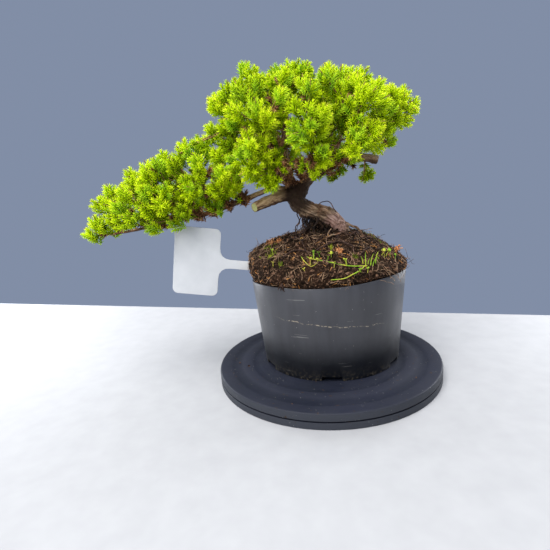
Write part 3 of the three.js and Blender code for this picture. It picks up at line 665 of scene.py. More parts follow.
# %% The wood's skeleton
TRUNK_PATH = [
    (20, 3, 98), (19, 1.5, 114), (18, 0, 125), (11.2, 0, 136.4), (3.9, 0, 141.8),
    (-6.1, 0, 146.2), (-15.2, 0, 151.3), (-20.5, 0, 158), (-24, 0, 166),
]
CASCADE_PATH = [
    (-22, -1, 164), (-37.5, -1, 168.5), (-49.8, -1, 165.3), (-64.9, -2, 160.5), (-80, -3, 155.8),
    (-99.8, -4, 150.9), (-116.5, -5, 149.2), (-133.4, -6, 147.1), (-153, -8, 143.5), (-176, -8, 141),
]
LIMBS = {
    "trunk": (TRUNK_PATH, (6, 7.4, 8.4, 8.3, 8, 7.6, 7.2, 6.4), 9),
    "stub": (
        [(-20, -1.5, 162), (-34.9, -3, 160.7), (-45.7, -3, 157.2), (-56.6, -3, 153.2)],
        (6.2, 5.8, 5.5, 5.2), 3,
    ),
    "leader": (
        [(-19, 0, 158), (-25, 2, 178), (-27, 4, 198), (-24, 4, 220), (-20, 4, 244)],
        (6, 4.6, 3.2, 2.2, 1.3), 6,
    ),
    "cascade": (CASCADE_PATH, (3.4, 2.6, 2.3, 2, 1.6, 1.2), 11),
    "rightArm": (
        [(-17, 0, 160), (-9, 0, 173.5), (3, 0, 181), (15, 0, 187), (27, 0, 190)],
        (5.5, 5.3, 5, 4.6, 4), 5,
    ),
    "deadStub": (
        [(22, 0, 189), (33, 0, 188.7), (43, 0, 187.1), (51.5, 0, 184.9)],
        (3.8, 3.6, 3.5), 3,
    ),
    "rightLimb": (
        [(20, 0, 188.5), (36, 1, 196), (49, 1, 206), (60, 0, 214), (70, -1, 223)],
        (3.8, 2.8, 2, 1.3), 5,
    ),
    "upperLeft": (
        [(-25, 2, 180), (-40, -4, 200), (-55, -8, 217), (-66, -8, 232)],
        (2.9, 2.2, 1.6, 1.2), 4,
    ),
    "frontLeft": (
        [(-23, -1, 172), (-33, -15, 186), (-40, -26, 197), (-43, -32, 207)],
        (2.8, 2.1, 1.5, 1.1), 4,
    ),
    "front": (
        [(0, -1, 179), (0, -14, 187), (-4, -29, 195), (-8, -39, 201)],
        (2.8, 2.1, 1.5, 1.1), 4,
    ),
    "frontRight": (
        [(14, -1, 186), (19, -13, 193), (23, -24, 200), (24, -30, 210)],
        (2.6, 2, 1.5, 1.1), 4,
    ),
    "topRight": (
        [(6, 0, 182), (12, 2, 204), (16, 3, 224), (20, 3, 240)],
        (3.2, 2.4, 1.8, 1.3), 4,
    ),
    "backLeft": (
        [(-25, 3, 180), (-34, 18, 200), (-42, 32, 214), (-45, 40, 226)],
        (2.8, 2.1, 1.5, 1.1), 4,
    ),
    "backRight": (
        [(12, 1, 185), (20, 16, 198), (27, 31, 210), (30, 40, 221)],
        (2.8, 2.1, 1.5, 1.1), 4,
    ),
}


CURVE_STEPS = 24


def smooth_path(points, count):
    """Evenly spaced points on a smooth curve that passes through the given ones."""
    known = [np.array(point, float) for point in points]
    known = [2 * known[0] - known[1]] + known + [2 * known[-1] - known[-2]]
    dense = []
    for before, start, end, after in zip(known, known[1:], known[2:], known[3:]):
        gaps = [math.sqrt(np.linalg.norm(b - a)) for a, b in ((before, start), (start, end), (end, after))]
        leave = (start - before) / gaps[0] - (end - before) / (gaps[0] + gaps[1]) + (end - start) / gaps[1]
        arrive = (end - start) / gaps[1] - (after - start) / (gaps[1] + gaps[2]) + (after - end) / gaps[2]
        leave, arrive = leave * gaps[1], arrive * gaps[1]
        for t in np.linspace(0, 1, CURVE_STEPS, endpoint=False):
            cubic = 2 * start - 2 * end + leave + arrive
            square = -3 * start + 3 * end - 2 * leave - arrive
            dense.append(cubic * t**3 + square * t**2 + leave * t + start)
    dense = np.array(dense + [known[-2]])
    lengths = np.concatenate([[0], np.cumsum(np.linalg.norm(np.diff(dense, axis=0), axis=1))])
    steps = np.linspace(0, lengths[-1], count)
    return np.stack([np.interp(steps, lengths, dense[:, axis]) for axis in range(3)], axis=1)


def radius_at(radii, share):
    return float(np.interp(share * (len(radii) - 1), range(len(radii)), radii))


# %% [markdown]
# The mound of soil is a formula: its edge stands a little above the rim, higher at the back, and it rises
# in a dome to the trunk. Roots, weeds and crumbs all ask it for the height under them.

# %% The mound
MOUND_TOP = 129
MOUND_POWER = 2.2
MOUND_RADIUS = pot_radius(90)
HEAP_HEIGHT = 5.0
HEAP_SPREAD = (110, 120)


def edge_height(turn):
    shoulder = math.exp(-(((turn % (2 * math.pi)) - 3.3) ** 2) / 0.3)
    return 105.4 - 4.4 * math.cos(turn) + 7.9 * math.sin(turn) + 3.0 * shoulder


def soil_height(x, y):
    dx, dy = x - POT_AXIS.x, y - POT_AXIS.y
    share = min(math.hypot(dx, dy) / MOUND_RADIUS, 1)
    edge = edge_height(math.atan2(dy, dx))
    lumps = 0.9 * math.sin(0.31 * x + 1.3) * math.cos(0.27 * y) + 0.6 * math.sin(0.6 * (x - y))
    heap = HEAP_HEIGHT * math.exp(-((x + 2) ** 2) / HEAP_SPREAD[0] - (y + 1) ** 2 / HEAP_SPREAD[1])
    return edge + (MOUND_TOP - edge) * (1 - share**MOUND_POWER) + lumps * (1 - share**8) + heap


def on_soil(x, y, lift):
    return (x, y, soil_height(x, y) + lift)


THIN_ROOTS = [
    ([(-16, -3, 149), (-20, -4, 145), (-19, -5, 140), (-22, -6, 134), (-20, -6, 118)], (0.5, 0.42, 0.35)),
    ([(-13, -3, 147), (-15.5, -5, 140), (-14, -6, 131), (-18, -7, 116)], (0.55, 0.5, 0.4)),
    ([(-10, -2, 143), (-12.5, -3, 138), (-11, -4, 131), (-13, -4, 116)], (0.8, 0.7, 0.6)),
    ([(-2, -6, 142), (-4, -9, 137), (-7, -10, 131), (-9, -11, 116)], (1.0, 0.9, 0.8)),
    ([(-3, -3, 149), (2, -4.5, 154), (8.2, -5, 152.6), (14, -3, 143)], (0.42, 0.4, 0.38)),
]
ROOTS = [
    ([(14, 0, 134), (23, -3, 133.5), (30, -5, 130), (40, -8, 116)], (2.6, 1)),
    ([(17, -3, 126), on_soil(14, -14, 0.4), on_soil(2, -24, 0.4), on_soil(-14, -27, -6)], (2, 0.9)),
    ([(18, 2, 126), on_soil(22, 16, 0.4), on_soil(14, 32, 0.4), on_soil(4, 40, -6)], (2.2, 0.9)),
    ([(14, 0, 128), (2, 4, 130), on_soil(-12, 8, 0.4), on_soil(-30, 14, -6)], (3, 1)),
]

# %% [markdown]
# ## Wood
# Each limb is drawn as a round curve of changing radius. Joined and remeshed into one skin of small
# squares, they grow together without seams. The bark is then carved into that skin: a noise that is drawn
# out along each limb pushes it in and out, as a juniper's bark peels in long strings. The vector noise that
# bends the roots starts from the clock unless it has a seed, so it gets one, and every run gives the same.

# %% Wood
def tubes(name, strands, sides=3):
    """Round strands as one closed mesh. Each strand is a path, in mm, and the radii spread along it."""
    start_clean()
    data = bpy.data.curves.new(name, "CURVE")
    data.dimensions = "3D"
    data.bevel_depth = 1
    data.bevel_resolution = sides
    data.use_fill_caps = True
    for path, radii in strands:
        spline = data.splines.new("POLY")
        spline.points.add(len(path) - 1)
        for i, (point, spline_point) in enumerate(zip(path, spline.points)):
            spline_point.co = (*(float(value) * MM for value in point), 1)
            spline_point.radius = radius_at(radii, i / (len(path) - 1)) * MM
    piece = bpy.data.objects.new(name, data)
    bpy.context.scene.collection.objects.link(piece)
    only(piece)
    bpy.ops.object.convert(target="MESH")
    return bpy.context.object


def join(pieces, name):
    start_clean()
    for piece in pieces:
        piece.select_set(True)
    bpy.context.view_layer.objects.active = pieces[0]
    bpy.ops.object.join()
    bpy.context.object.name = name
    return bpy.context.object


def path_frames(path):
    """For each point of a path: the point, the way ahead and two directions across it."""
    frames = []
    across = None
    for i, point in enumerate(path):
        ahead = Vector(path[min(i + 1, len(path) - 1)] - path[max(i - 1, 0)]).normalized()
        if across is None:
            across = Vector((1, 0, 0)) if abs(ahead.z) > 0.9 else Vector((0, 0, 1))
        across = (across - ahead * across.dot(ahead)).normalized()
        frames.append((Vector(point), ahead, across, ahead.cross(across)))
    return frames


GUIDE_STEPS = 60


def bark_guides():
    """Points along every limb and root, each with its frame, its place along the limb and its radius."""
    guides = []
    items = [(name, points, radii) for name, (points, radii, _) in LIMBS.items()]
    items += [("root", points, radii) for points, radii in ROOTS]
    for number, (name, points, radii) in enumerate(items):
        path = smooth_path(points, GUIDE_STEPS)
        step = float(np.linalg.norm(path[1] - path[0]))
        for i, (point, ahead, across, beside) in enumerate(path_frames(path)):
            radius = radius_at(radii, i / (GUIDE_STEPS - 1))
            guides.append((name, point, ahead, across, beside, number * 40 + i * step, radius))
    return guides


SMOOTH_PATCH = Vector((13, -7, 134))
SMOOTH_REACH = 12
BARK_DEPTH = 0.14
BARK_LEAST, BARK_MOST = 0.1, 1.1


def carve_bark(wood, guides):
    """Pushes the skin in and out along the bark's strings, and keeps each vertex's place on the bark."""
    tree = KDTree(len(guides))
    for i, guide in enumerate(guides):
        tree.insert(guide[1], i)
    tree.balance()
    places, dead = [], []
    normals = [vertex.normal.copy() for vertex in wood.data.vertices]
    for vertex, normal in zip(wood.data.vertices, normals):
        here = vertex.co / MM
        near = min(tree.find_n(here, 8), key=lambda found: found[2] - 0.8 * guides[found[1]][6])
        name, point, ahead, across, beside, along, radius = guides[near[1]]
        offset = here - point
        place = Vector((offset.dot(across), offset.dot(beside), 0.22 * (along + offset.dot(ahead))))
        places.extend(place)
        dead.append(1.0 if name == "deadStub" else 0.0)
        strings = noise.fractal(place * 0.7, 0.8, 2.0, 4)
        knots = noise.noise(here * 0.16)
        deep = max(BARK_LEAST, min(BARK_DEPTH * radius, BARK_MOST))
        if (here - SMOOTH_PATCH).length < SMOOTH_REACH or name == "stub":
            strings *= 0.4
        vertex.co += normal * deep * (0.9 * strings + 1.1 * knots + 0.5 * noise.noise(here * 0.5)) * MM
    wood.data.attributes.new("bark_place", "FLOAT_VECTOR", "POINT").data.foreach_set("vector", places)
    wood.data.attributes.new("dead", "FLOAT", "POINT").data.foreach_set("value", dead)


WANDER_SEED = 7
noise.seed_set(WANDER_SEED)


def wandering(path, reach, seed):
    """The path with its middle pushed about by a noise of the given reach, and its ends left in place."""
    found = []
    for i, point in enumerate(path):
        share = i / (len(path) - 1)
        drift = noise.noise_vector(Vector(point) * 0.13 + Vector((seed, 0, 0)))
        drift += 0.45 * noise.noise_vector(Vector(point) * 0.45 + Vector((0, seed, 0)))
        found.append(Vector(point) + drift * reach * math.sin(math.pi * share) ** 0.6)
    return found


SAW_LENGTH = 14
SAW_MARGIN = 1.3


def saw_off(wood, limb_name, normal, spare):
    """Cuts a limb's end along a slanting plane, and gives the cut the second material."""
    path = smooth_path(LIMBS[limb_name][0], 40)
    end = Vector(path[-1])
    ahead = Vector(path[-1] - path[-4]).normalized()
    reach = LIMBS[limb_name][1][-1] + SAW_MARGIN
    only(wood)
    bpy.ops.object.mode_set(mode="EDIT")
    bpy.ops.mesh.select_mode(type="FACE")
    bpy.ops.mesh.select_all(action="DESELECT")
    bpy.ops.object.mode_set(mode="OBJECT")
    for face in wood.data.polygons:
        offset = face.center / MM - end
        along = offset.dot(ahead)
        face.select = along > -SAW_LENGTH and (offset - ahead * along).length < reach
    bpy.ops.object.mode_set(mode="EDIT")
    middle = (end + ahead * spare) * MM
    bpy.ops.mesh.bisect(plane_co=middle, plane_no=normal, use_fill=True, clear_outer=True, clear_inner=False)
    bpy.ops.mesh.inset(thickness=0.6 * MM, depth=0, use_even_offset=False)
    bpy.ops.object.material_slot_assign()
    bpy.ops.object.mode_set(mode="OBJECT")


STUB_CUT = Vector((-0.80, -0.52, -0.30)).normalized()
SLIMMER = {"stub": 0.84, "cascade": 0.82}
ROOT_SLIMMER = 0.62
WOOD_GRID = 0.75

limb_strands, root_strands = [], []
for name, (points, radii, _) in LIMBS.items():
    path = smooth_path(points, 40)
    if name == "stub":
        path = np.concatenate([path, [path[-1] + (path[-1] - path[-2]) * share for share in (1, 2, 3)]])
    limb_strands.append((path, [SLIMMER.get(name, 1) * radius for radius in radii]))
for number, (points, radii) in enumerate(ROOTS):
    path = wandering(smooth_path(points, 30), 1.5, 10 * number)
    root_strands.append((path, [ROOT_SLIMMER * radius for radius in radii]))
wood = join([tubes("limbs", limb_strands, 5), tubes("roots", root_strands, 3)], "juniper_wood")
wood.data.remesh_voxel_size = WOOD_GRID * MM
bpy.ops.object.voxel_remesh()
add_modifier(wood, "SMOOTH", factor=0.5, iterations=2)
carve_bark(wood, bark_guides())
smooth(wood, 60)


# %% [markdown]
# The bark runs from dark cracks to pale strings. Faces that turn downwards are painted darker, a painted
# shade, and the fork is painted dark as shade. The stub's upper side is painted pale tan, partly its own
# yellower bark and partly painted light. One patch of the trunk is smooth and pinkish, the dead stub is
# grey, and the stub's cut shows fresh, pale wood.

# %% Bark material
def attribute(tree, name, output="Fac"):
    return add_node(tree, "ShaderNodeAttribute", attribute_name=name).outputs[output]


def near_point(tree, place, centre, radius):
    """A mask that is 1 at a point and fades out at the radius, in metres."""
    away = add_node(tree, "ShaderNodeVectorMath", operation="DISTANCE")
    tree.links.new(place, away.inputs[0])
    away.inputs[1].default_value = tuple(centre)
    share = maths(tree, "DIVIDE", away.outputs["Value"], radius)
    return ramp(tree, share, [(0.55, 1.0), (1.0, 0.0)])


HOLLOW = Vector((-1, -4, 133))


def paint_hollow_shade(tree, place, colour):
    """Paints shade on what lies in the hollow under the leaning trunk: a painted shade, darker towards its
    middle.
    """
    mask = near_point(tree, place, HOLLOW * MM, 18 * MM)
    return blend_colours(tree, times(tree, mask, 0.8), colour, (0.003, 0.002, 0.0015))


def bark_material():
    material, tree, shader, place = start_material("juniper_bark")
    strings = attribute(tree, "bark_place", "Vector")
    fine = noise_mask(tree, strings, 0.62, 8, 0.68)
    broad = noise_mask(tree, place, 70, 4)
    cracks = [(0.32, (0.035, 0.020, 0.012)), (0.45, (0.14, 0.085, 0.048))]
    crests = [(0.56, (0.33, 0.225, 0.135)), (0.70, (0.58, 0.46, 0.33))]
    colour = ramp(tree, fine, cracks + crests)
    warm = blend_colours(tree, 0.8, colour, (0.36, 0.15, 0.08), "OVERLAY")
    colour = blend_colours(tree, ramp(tree, broad, [(0.42, 0.0), (0.62, 0.8)]), colour, warm)
    # Painted shade: the mask called dry marks faces that turn upwards, and faces that turn downwards are
    # painted darker.
    normal = add_node(tree, "ShaderNodeNewGeometry").outputs["Normal"]
    upward = maths(tree, "ADD", times(tree, axes_of(tree, normal)["Z"], 0.5), 0.5)
    dry = ramp(tree, upward, [(0.16, 0.0), (0.64, 1.0)])
    painted_underside_shade = maths(tree, "SUBTRACT", 0.75, times(tree, dry, 0.75))
    colour = blend_colours(tree, painted_underside_shade, colour, (0.030, 0.018, 0.012))
    # Painted light: the stub's upward faces are painted pale tan, partly its own yellower bark.
    stub_stops = [(0.34, (0.15, 0.085, 0.036)), (0.48, (0.36, 0.235, 0.115)), (0.62, (0.50, 0.36, 0.20))]
    stub_tone_and_light = near_point(tree, place, Vector((-45, -3, 160)) * MM, 24 * MM)
    lit = ramp(tree, dry, [(0.05, 0.0), (0.45, 0.95)])
    colour = blend_colours(tree, times(tree, stub_tone_and_light, lit), colour, ramp(tree, fine, stub_stops))
    shade = near_point(tree, place, Vector((-18, -4, 161)) * MM, 18 * MM)
    colour = blend_colours(tree, times(tree, shade, 0.95), colour, (0.024, 0.013, 0.007))
    patch = near_point(tree, place, SMOOTH_PATCH * MM, 13 * MM)
    skin = noise_mask(tree, stretch(tree, strings, (0.5, 0.5, 0.5)), 1.2, 5)
    skin_stops = [(0.34, (0.10, 0.050, 0.036)), (0.50, (0.29, 0.165, 0.130)), (0.66, (0.43, 0.29, 0.245))]
    colour = blend_colours(tree, times(tree, patch, 0.85), colour, ramp(tree, skin, skin_stops))
    high = ramp(tree, axes_of(tree, place)["Z"], [(0.1865, 0.0), (0.1885, 1.0)])
    grey = ramp(tree, fine, [(0.35, (0.24, 0.13, 0.06)), (0.65, (0.56, 0.38, 0.21))])
    colour = blend_colours(tree, times(tree, attribute(tree, "dead"), high), colour, grey)
    finish_surface(tree, shader, colour, 0.86, 0.2)
    bump(tree, shader, fine, 0.9, 0.0009)
    return material


def sawn_material():
    """Fresh juniper wood: pale yellow-green with growth rings round the middle of the cut."""
    material, tree, shader, place = start_material("sawn_wood")
    shift = {"Vector": place, "Location": tuple(-value * MM for value in STUB_END)}
    centred = add_node(tree, "ShaderNodeMapping", shift).outputs["Vector"]
    waves = {"Vector": centred, "Scale": 330.0, "Distortion": 2.5, "Detail": 3.0}
    rings = add_node(tree, "ShaderNodeTexWave", waves, wave_type="RINGS").outputs["Fac"]
    grain = maths(tree, "ADD", times(tree, rings, 0.35), times(tree, noise_mask(tree, place, 350, 4), 0.65))
    colour = ramp(tree, grain, [(0.30, (0.26, 0.25, 0.07)), (0.70, (0.50, 0.52, 0.17))])
    finish_surface(tree, shader, colour, 0.8)
    bump(tree, shader, grain, 0.3, 0.0002)
    return material


STUB_END = LIMBS["stub"][0][-1]
wood.data.materials.append(bark_material())
wood.data.materials.append(sawn_material())
wood.active_material_index = 1
saw_off(wood, "stub", STUB_CUT, -0.8)
print("wood", len(wood.data.vertices), "points, open edges", open_edges(wood))
finish_piece(wood, "plant", "wood", "trunk_and_limbs")

# %% [markdown]
# Under the leaning trunk hangs a mat of thin dark roots. Each is drawn from the trunk's underside down
# into the peat, and a noise pushes its middle about, so that no two run side by side. Others lie on the
# peat, and a small clump hangs over the pot's rim.

# %% Hanging roots
HAIR_ROOTS = 170
HAIR_STARTS = ((10, 46), (25, 40), (37, 47))
LYING_ROOTS = 34
RIM_ROOTS = 18
RIM_START = (-37.8, -45.2, 96)
RIM_END = (-37.8, -47.4, 87.5)
SURFACE_ROOTS = [
    (
        [on_soil(-13, -38, -0.8), on_soil(-6, -36, 1.2), on_soil(2, -32, 1.6)]
        + [on_soil(12, -29, 1.6), on_soil(21, -31, -0.8)],
        (0.55, 0.85, 0.9, 0.7),
    ),
    (
        [on_soil(-38, -33, -0.6), on_soil(-30, -33, 1.1), on_soil(-21, -32, 1.3), on_soil(-13, -38, -0.4)],
        (0.5, 0.6, 0.7, 0.6),
    ),
    ([on_soil(14, -27, 0.8), on_soil(20, -33, 2), on_soil(21, -38, -0.6)], (0.6, 0.45, 0.3)),
    ([on_soil(-16, -38, 0.4), on_soil(-19, -22, 1.4), on_soil(-18, -13, 1.0)], (0.3, 0.3, 0.3)),
    ([on_soil(24, -41, -0.5), on_soil(32, -34, 1.2), on_soil(38, -28, -0.5)], (0.5, 0.6, 0.4)),
]


def straight(start, end, arch=0.0, count=9):
    """Points from start to end, with the middle lifted by the arch."""
    shares = np.linspace(0, 1, count)
    return [start.lerp(end, share) + Vector((0, 0, arch * math.sin(math.pi * share))) for share in shares]


def make_hanging_roots():
    draw = random.Random(83)
    trunk = smooth_path(TRUNK_PATH, GUIDE_STEPS)
    strands = []
    for number in range(HAIR_ROOTS):
        i = draw.randrange(*HAIR_STARTS[number % 3])
        radius = radius_at(LIMBS["trunk"][1], i / (GUIDE_STEPS - 1))
        aside, across = draw.uniform(-2, 2), draw.uniform(-0.8, 0.8) * radius
        start = Vector(trunk[i]) + Vector((aside, across, -0.55 * radius))
        x, y = start.x + draw.gauss(-2, 4), start.y + draw.gauss(-1, 5)
        steps = straight(start, Vector(on_soil(x, y, -1)))
        thick = draw.choice((0.2, 0.26, 0.34, 0.5))
        path = wandering(steps, draw.uniform(2, 5), draw.uniform(0, 90))
        strands.append((path, (thick, 0.8 * thick, 0.6 * thick)))
    for _ in range(LYING_ROOTS):
        x, y = draw.uniform(-24, 40), draw.uniform(-26, 16)
        turn, reach = draw.uniform(0, 2 * math.pi), draw.uniform(8, 22)
        start = Vector(on_soil(x, y, -0.6))
        end = Vector(on_soil(x + reach * math.cos(turn), y + reach * math.sin(turn), -0.6))
        steps = straight(start, end, 2.6, 11)
        thick = draw.uniform(0.3, 0.75)
        strands.append((wandering(steps, 3.5, draw.uniform(0, 90)), (thick, 0.8 * thick, 0.5 * thick)))
    for _ in range(RIM_ROOTS):
        start = Vector((RIM_START[0] + draw.gauss(0, 1.8), RIM_START[1], RIM_START[2]))
        end = Vector((RIM_END[0] + draw.gauss(0, 2.2), RIM_END[1], RIM_END[2] + draw.uniform(0, 4)))
        strands.append((wandering(straight(start, end), 1.8, draw.uniform(0, 90)), (0.5, 0.42, 0.3)))
    for points, radii in THIN_ROOTS + SURFACE_ROOTS:
        strands.append((wandering(smooth_path(points, 24), 1.2, len(strands)), radii))
    roots = tubes("hanging_roots", strands, 1)
    smooth(roots, 70)
    return roots


def root_material():
    material, tree, shader, place = start_material("root_skin")
    tone = noise_mask(tree, place, 160, 5, 0.65)
    stops = [(0.34, (0.008, 0.004, 0.003)), (0.52, (0.040, 0.021, 0.015)), (0.68, (0.18, 0.105, 0.075))]
    finish_surface(tree, shader, paint_hollow_shade(tree, place, ramp(tree, tone, stops)), 0.8, 0.2)
    bump(tree, shader, tone, 0.5, 0.0003)
    return material


hanging_roots = make_hanging_roots()
hanging_roots.data.materials.append(root_material())
finish_piece(hanging_roots, "plant", "wood")

# %% [markdown]
# ## Needles and shoots
# A juniper's shoot carries its needles in whorls of three, each whorl turned by a sixth against the last.
# One needle is a thin three-sided cone, leaned outwards. A whorl of three is copied up a short stem,
# closer to the stem at the tip, and the shoot is then bent. A few such shoots, of different lengths and
# bends, are the stock from which every spray is put together.

# %% One needle and one shoot
NEEDLE_LENGTH = 4.4
NEEDLE_HALF_WIDTH = 0.72
WHORL_STEP = 1.3
SHOOT_STOCK = [(7.5, 8), (7.5, -10), (10, 14), (10, -6), (13, 18), (13, -16), (17, 22), (17, 10)]


def small_cone(base, length, tip=0):
    """A three-sided cone with its middle at the origin. The two radii and the length are in mm."""
    start_clean()
    radii = {"radius1": base * MM, "radius2": tip * MM}
    bpy.ops.mesh.primitive_cone_add(vertices=3, depth=length * MM, end_fill_type="NGON", **radii)
    return bpy.context.object


def duplicate(template, pieces):
    """A copy with a mesh of its own, added to the scene and to the list."""
    copy = template.copy()
    copy.data = template.data.copy()
    bpy.context.scene.collection.objects.link(copy)
    pieces.append(copy)
    return copy


def add_measure(piece, name, values=None):
    """Gives every vertex a number of its own, which a material reads by its name."""
    layer = piece.data.attributes.new(name, "FLOAT", "POINT")
    if values is not None:
        layer.data.foreach_set("value", values)


def make_needle():
    needle = small_cone(NEEDLE_HALF_WIDTH, NEEDLE_LENGTH)
    needle.data.transform(Matrix.Translation((0, 0, NEEDLE_LENGTH / 2 * MM)))
    needle.data.transform(Matrix.Diagonal((0.8, 1, 1, 1)))
    return needle


def make_shoot(needle, length, bend):
    """A leafy shoot that grows up the Z axis from the origin, with its needles' places kept as attributes."""
    stem = small_cone(0.5, length, 0.3)
    stem.data.transform(Matrix.Translation((0, 0, length / 2 * MM)))
    add_measure(stem, "rise", [1.0] * len(stem.data.vertices))
    pieces = [stem]
    whorls = max(3, round(0.85 * length / WHORL_STEP))
    for i in range(whorls):
        share = i / (whorls - 1)
        lean = math.radians(50 - 26 * share**3)
        size = 0.85 + 0.2 * math.sin(math.pi * share) - 0.16 * share**6
        height = 0.15 * length + share**0.9 * (0.85 * length - 2.2)
        for k in range(3):
            turn = math.radians(60 * i + 120 * k + 7 * math.sin(5 * i + k))
            copy = duplicate(needle, pieces)
            add_measure(copy, "rise", [vertex.co.z / (NEEDLE_LENGTH * MM) for vertex in copy.data.vertices])
            copy.data.transform(
                Matrix.Translation((0, 0, height * MM))
                @ Matrix.Rotation(turn, 4, "Z")
                @ Matrix.Rotation(lean + 0.12 * math.sin(7 * i + 3 * k), 4, "Y")
                @ Matrix.Diagonal((size, size, size, 1))
            )
    shoot = join(pieces, f"shoot_{length}_{bend}")
    only(shoot)
    bpy.ops.object.shade_flat()
    add_measure(shoot, "reach", [min(1.0, vertex.co.z / (length * MM)) for vertex in shoot.data.vertices])
    add_modifier(shoot, "SIMPLE_DEFORM", deform_method="BEND", deform_axis="X", angle=math.radians(bend))
    for name in ("age", "bloom", "dry"):
        add_measure(shoot, name)
    return shoot


needle = make_needle()
STOCK = [(length, make_shoot(needle, length, bend)) for length, bend in SHOOT_STOCK]
bpy.data.objects.remove(needle)
print("stock", [(length, len(shoot.data.polygons)) for length, shoot in STOCK])

# %% [markdown]
# ## Sprays
# A spray leaves its limb where the CAD model's does and reaches the same points. Each of its leading
# stems ends in a plume: a blunt tuft of shoots that leave the stem one below the other and end side by
# side on a dome. Below the plume the stem carries only a few short, dark shoots, as in the shade of a
# real crown.

# %% Where the sprays grow
SPRAYS = {
    "apex": ("leader", 1, [(-19, 5, 270), (-34, 2, 265)]),
    "apex_right": ("leader", 0.83, [(-4, -9, 259), (-6, 14, 262)]),
    "apex_back": ("leader", 0.67, [(-22, 30, 252), (-40, 24, 253)]),
    "apex_front": ("leader", 0.67, [(-19, -26, 238), (-38, -27, 239)]),
    "shoulder_left": ("upperLeft", 0.75, [(-50, -8, 260), (-66, -5, 255)]),
    "left_edge": ("upperLeft", 1, [(-82, 0, 247), (-86, -12, 236)]),
    "left_hem": ("upperLeft", 0.5, [(-89, -5, 224), (-78, -14, 212)]),
    "left_face": ("upperLeft", 0.75, [(-62, -27, 235), (-72, -30, 222)]),
    "left_back": ("upperLeft", 0.5, [(-66, 24, 236), (-76, 26, 220)]),
    "face_left": ("frontLeft", 1, [(-35, -46, 224), (-51, -42, 222)]),
    "face_low_left": ("frontLeft", 0.75, [(-64, -45, 200), (-54, -52, 204)]),
    "hanging_left": ("frontLeft", 0.5, [(-48, -36, 178), (-46, -30, 166)]),
    "face_middle": ("front", 1, [(-9, -56, 213), (-28, -56, 202)]),
    "face_low": ("front", 0.75, [(-2, -50, 195), (6, -42, 184)]),
    "face_high": ("topRight", 0.5, [(12, -38, 227), (-1, -32, 236)]),
    "face_right": ("frontRight", 1, [(38, -36, 213), (22, -46, 214)]),
    "face_low_right": ("frontRight", 0.75, [(20, -46, 195), (36, -40, 201)]),
    "crest_right": ("topRight", 1, [(24, 0, 262), (36, 8, 260)]),
    "crest_middle": ("topRight", 0.75, [(12, 16, 262), (8, 34, 250)]),
    "crest_front": ("topRight", 0.75, [(27, -25, 240), (10, -18, 250)]),
    "crest_far_right": ("rightLimb", 0.4, [(43, -5, 251), (55, 5, 250)]),
    "right_top": ("rightLimb", 0.8, [(66, 0, 244), (79, 12, 243)]),
    "right_edge": ("rightLimb", 1, [(87, 0, 231), (80, -13, 220)]),
    "right_face": ("rightLimb", 0.6, [(56, -26, 228), (60, -20, 212)]),
    "right_hem": ("rightLimb", 0.6, [(74, 20, 204), (66, 30, 214)]),
    "under_right": ("deadStub", 0.67, [(51, 10, 176), (38, 1, 168)]),
    "under_arm": ("rightArm", 0.8, [(18, -6, 174)]),
    "back_left": ("backLeft", 1, [(-46, 55, 236), (-62, 46, 228)]),
    "back_middle": ("backLeft", 0.75, [(-26, 60, 216), (-46, 56, 206)]),
    "back_right": ("backRight", 1, [(30, 56, 232), (46, 44, 230)]),
    "back_low": ("backRight", 0.75, [(8, 62, 214), (36, 58, 206)]),
    "cascade_tip": ("cascade", 1, [(-204, -3, 147), (-189, -14, 158)]),
    "cascade_top_6": ("cascade", 0.91, [(-189, 5, 175), (-177, -8, 183)]),
    "cascade_front_4": ("cascade", 0.82, [(-167, -28, 169), (-158, -36, 156)]),
    "cascade_top_5": ("cascade", 0.73, [(-162, 0, 194), (-156, 16, 192)]),
    "cascade_front_3": ("cascade", 0.64, [(-143, -33, 178), (-130, -38, 167)]),
    "cascade_top_4": ("cascade", 0.55, [(-141, -5, 194), (-131, 1, 207)]),
    "cascade_under": ("cascade", 0.64, [(-148, -16, 146), (-130, -16, 150)]),
    "cascade_front_2": ("cascade", 0.45, [(-118, -26, 198), (-104, -40, 174)]),
    "cascade_top_3": ("cascade", 0.45, [(-113, 5, 216), (-97, -4, 217)]),
    "cascade_front_1": ("cascade", 0.36, [(-98, -38, 198), (-86, -36, 176)]),
    "cascade_top_1": ("cascade", 0.27, [(-83, -26, 202), (-70, -8, 184)]),
    "cascade_back_3": ("cascade", 0.82, [(-166, 28, 172), (-146, 38, 166)]),
    "cascade_back_2": ("cascade", 0.55, [(-126, 34, 190), (-112, 42, 176)]),
    "cascade_back_1": ("cascade", 0.36, [(-92, 34, 196), (-84, 40, 176)]),
}
GOLDEN_TURN = math.radians(137.5)
TWIG_STEP = 6
TWIG_ANGLE = math.radians(52)
LIGHT_PULL = 0.15
PLUME_PULL = 0.55
FAN = [(0, 0, 0.08), (1, 0.2, 0.12), (-1, -0.2, 0.12)]
FAN_LEAST, FAN_SHARE, FAN_MOST = 12, 0.34, 16
SHOOT_GAP = 3.7
PLUME_SHOOTS = 9
PLUME_RADIUS = 7.6
PLUME_GAP = 10.2
PLUME_SHOOT_GAP = 3.2
LINE_POINTS = 25
BARE_TIP = 12
SHORT_SHOOT = (7.5, 11)
SPRAY_FIRST = 0.07
LIMB_POINTS = 121
WEAK_SPRAYS = {"under_right": 0.3, "under_arm": 0.3, "cascade_under": 0.7}


def spray_start(limb_name, share, tips):
    """Where the spray leaves its limb, and the way that it sets out."""
    points, radii, steps = LIMBS[limb_name]
    share = round(share * steps) / steps
    path = smooth_path(points, LIMB_POINTS)
    last = LIMB_POINTS - 1
    i = round(share * last)
    start = Vector(path[i])
    ahead = Vector(path[min(i + 1, last)] - path[max(i - 1, 0)]).normalized()
    if share < 1:
        away = sum((Vector(tip) for tip in tips), Vector()) / len(tips) - start
        ahead = (away - ahead * away.dot(ahead)).normalized()
        start = start + ahead * (radius_at(radii, share) - 0.3)
    return start, ahead


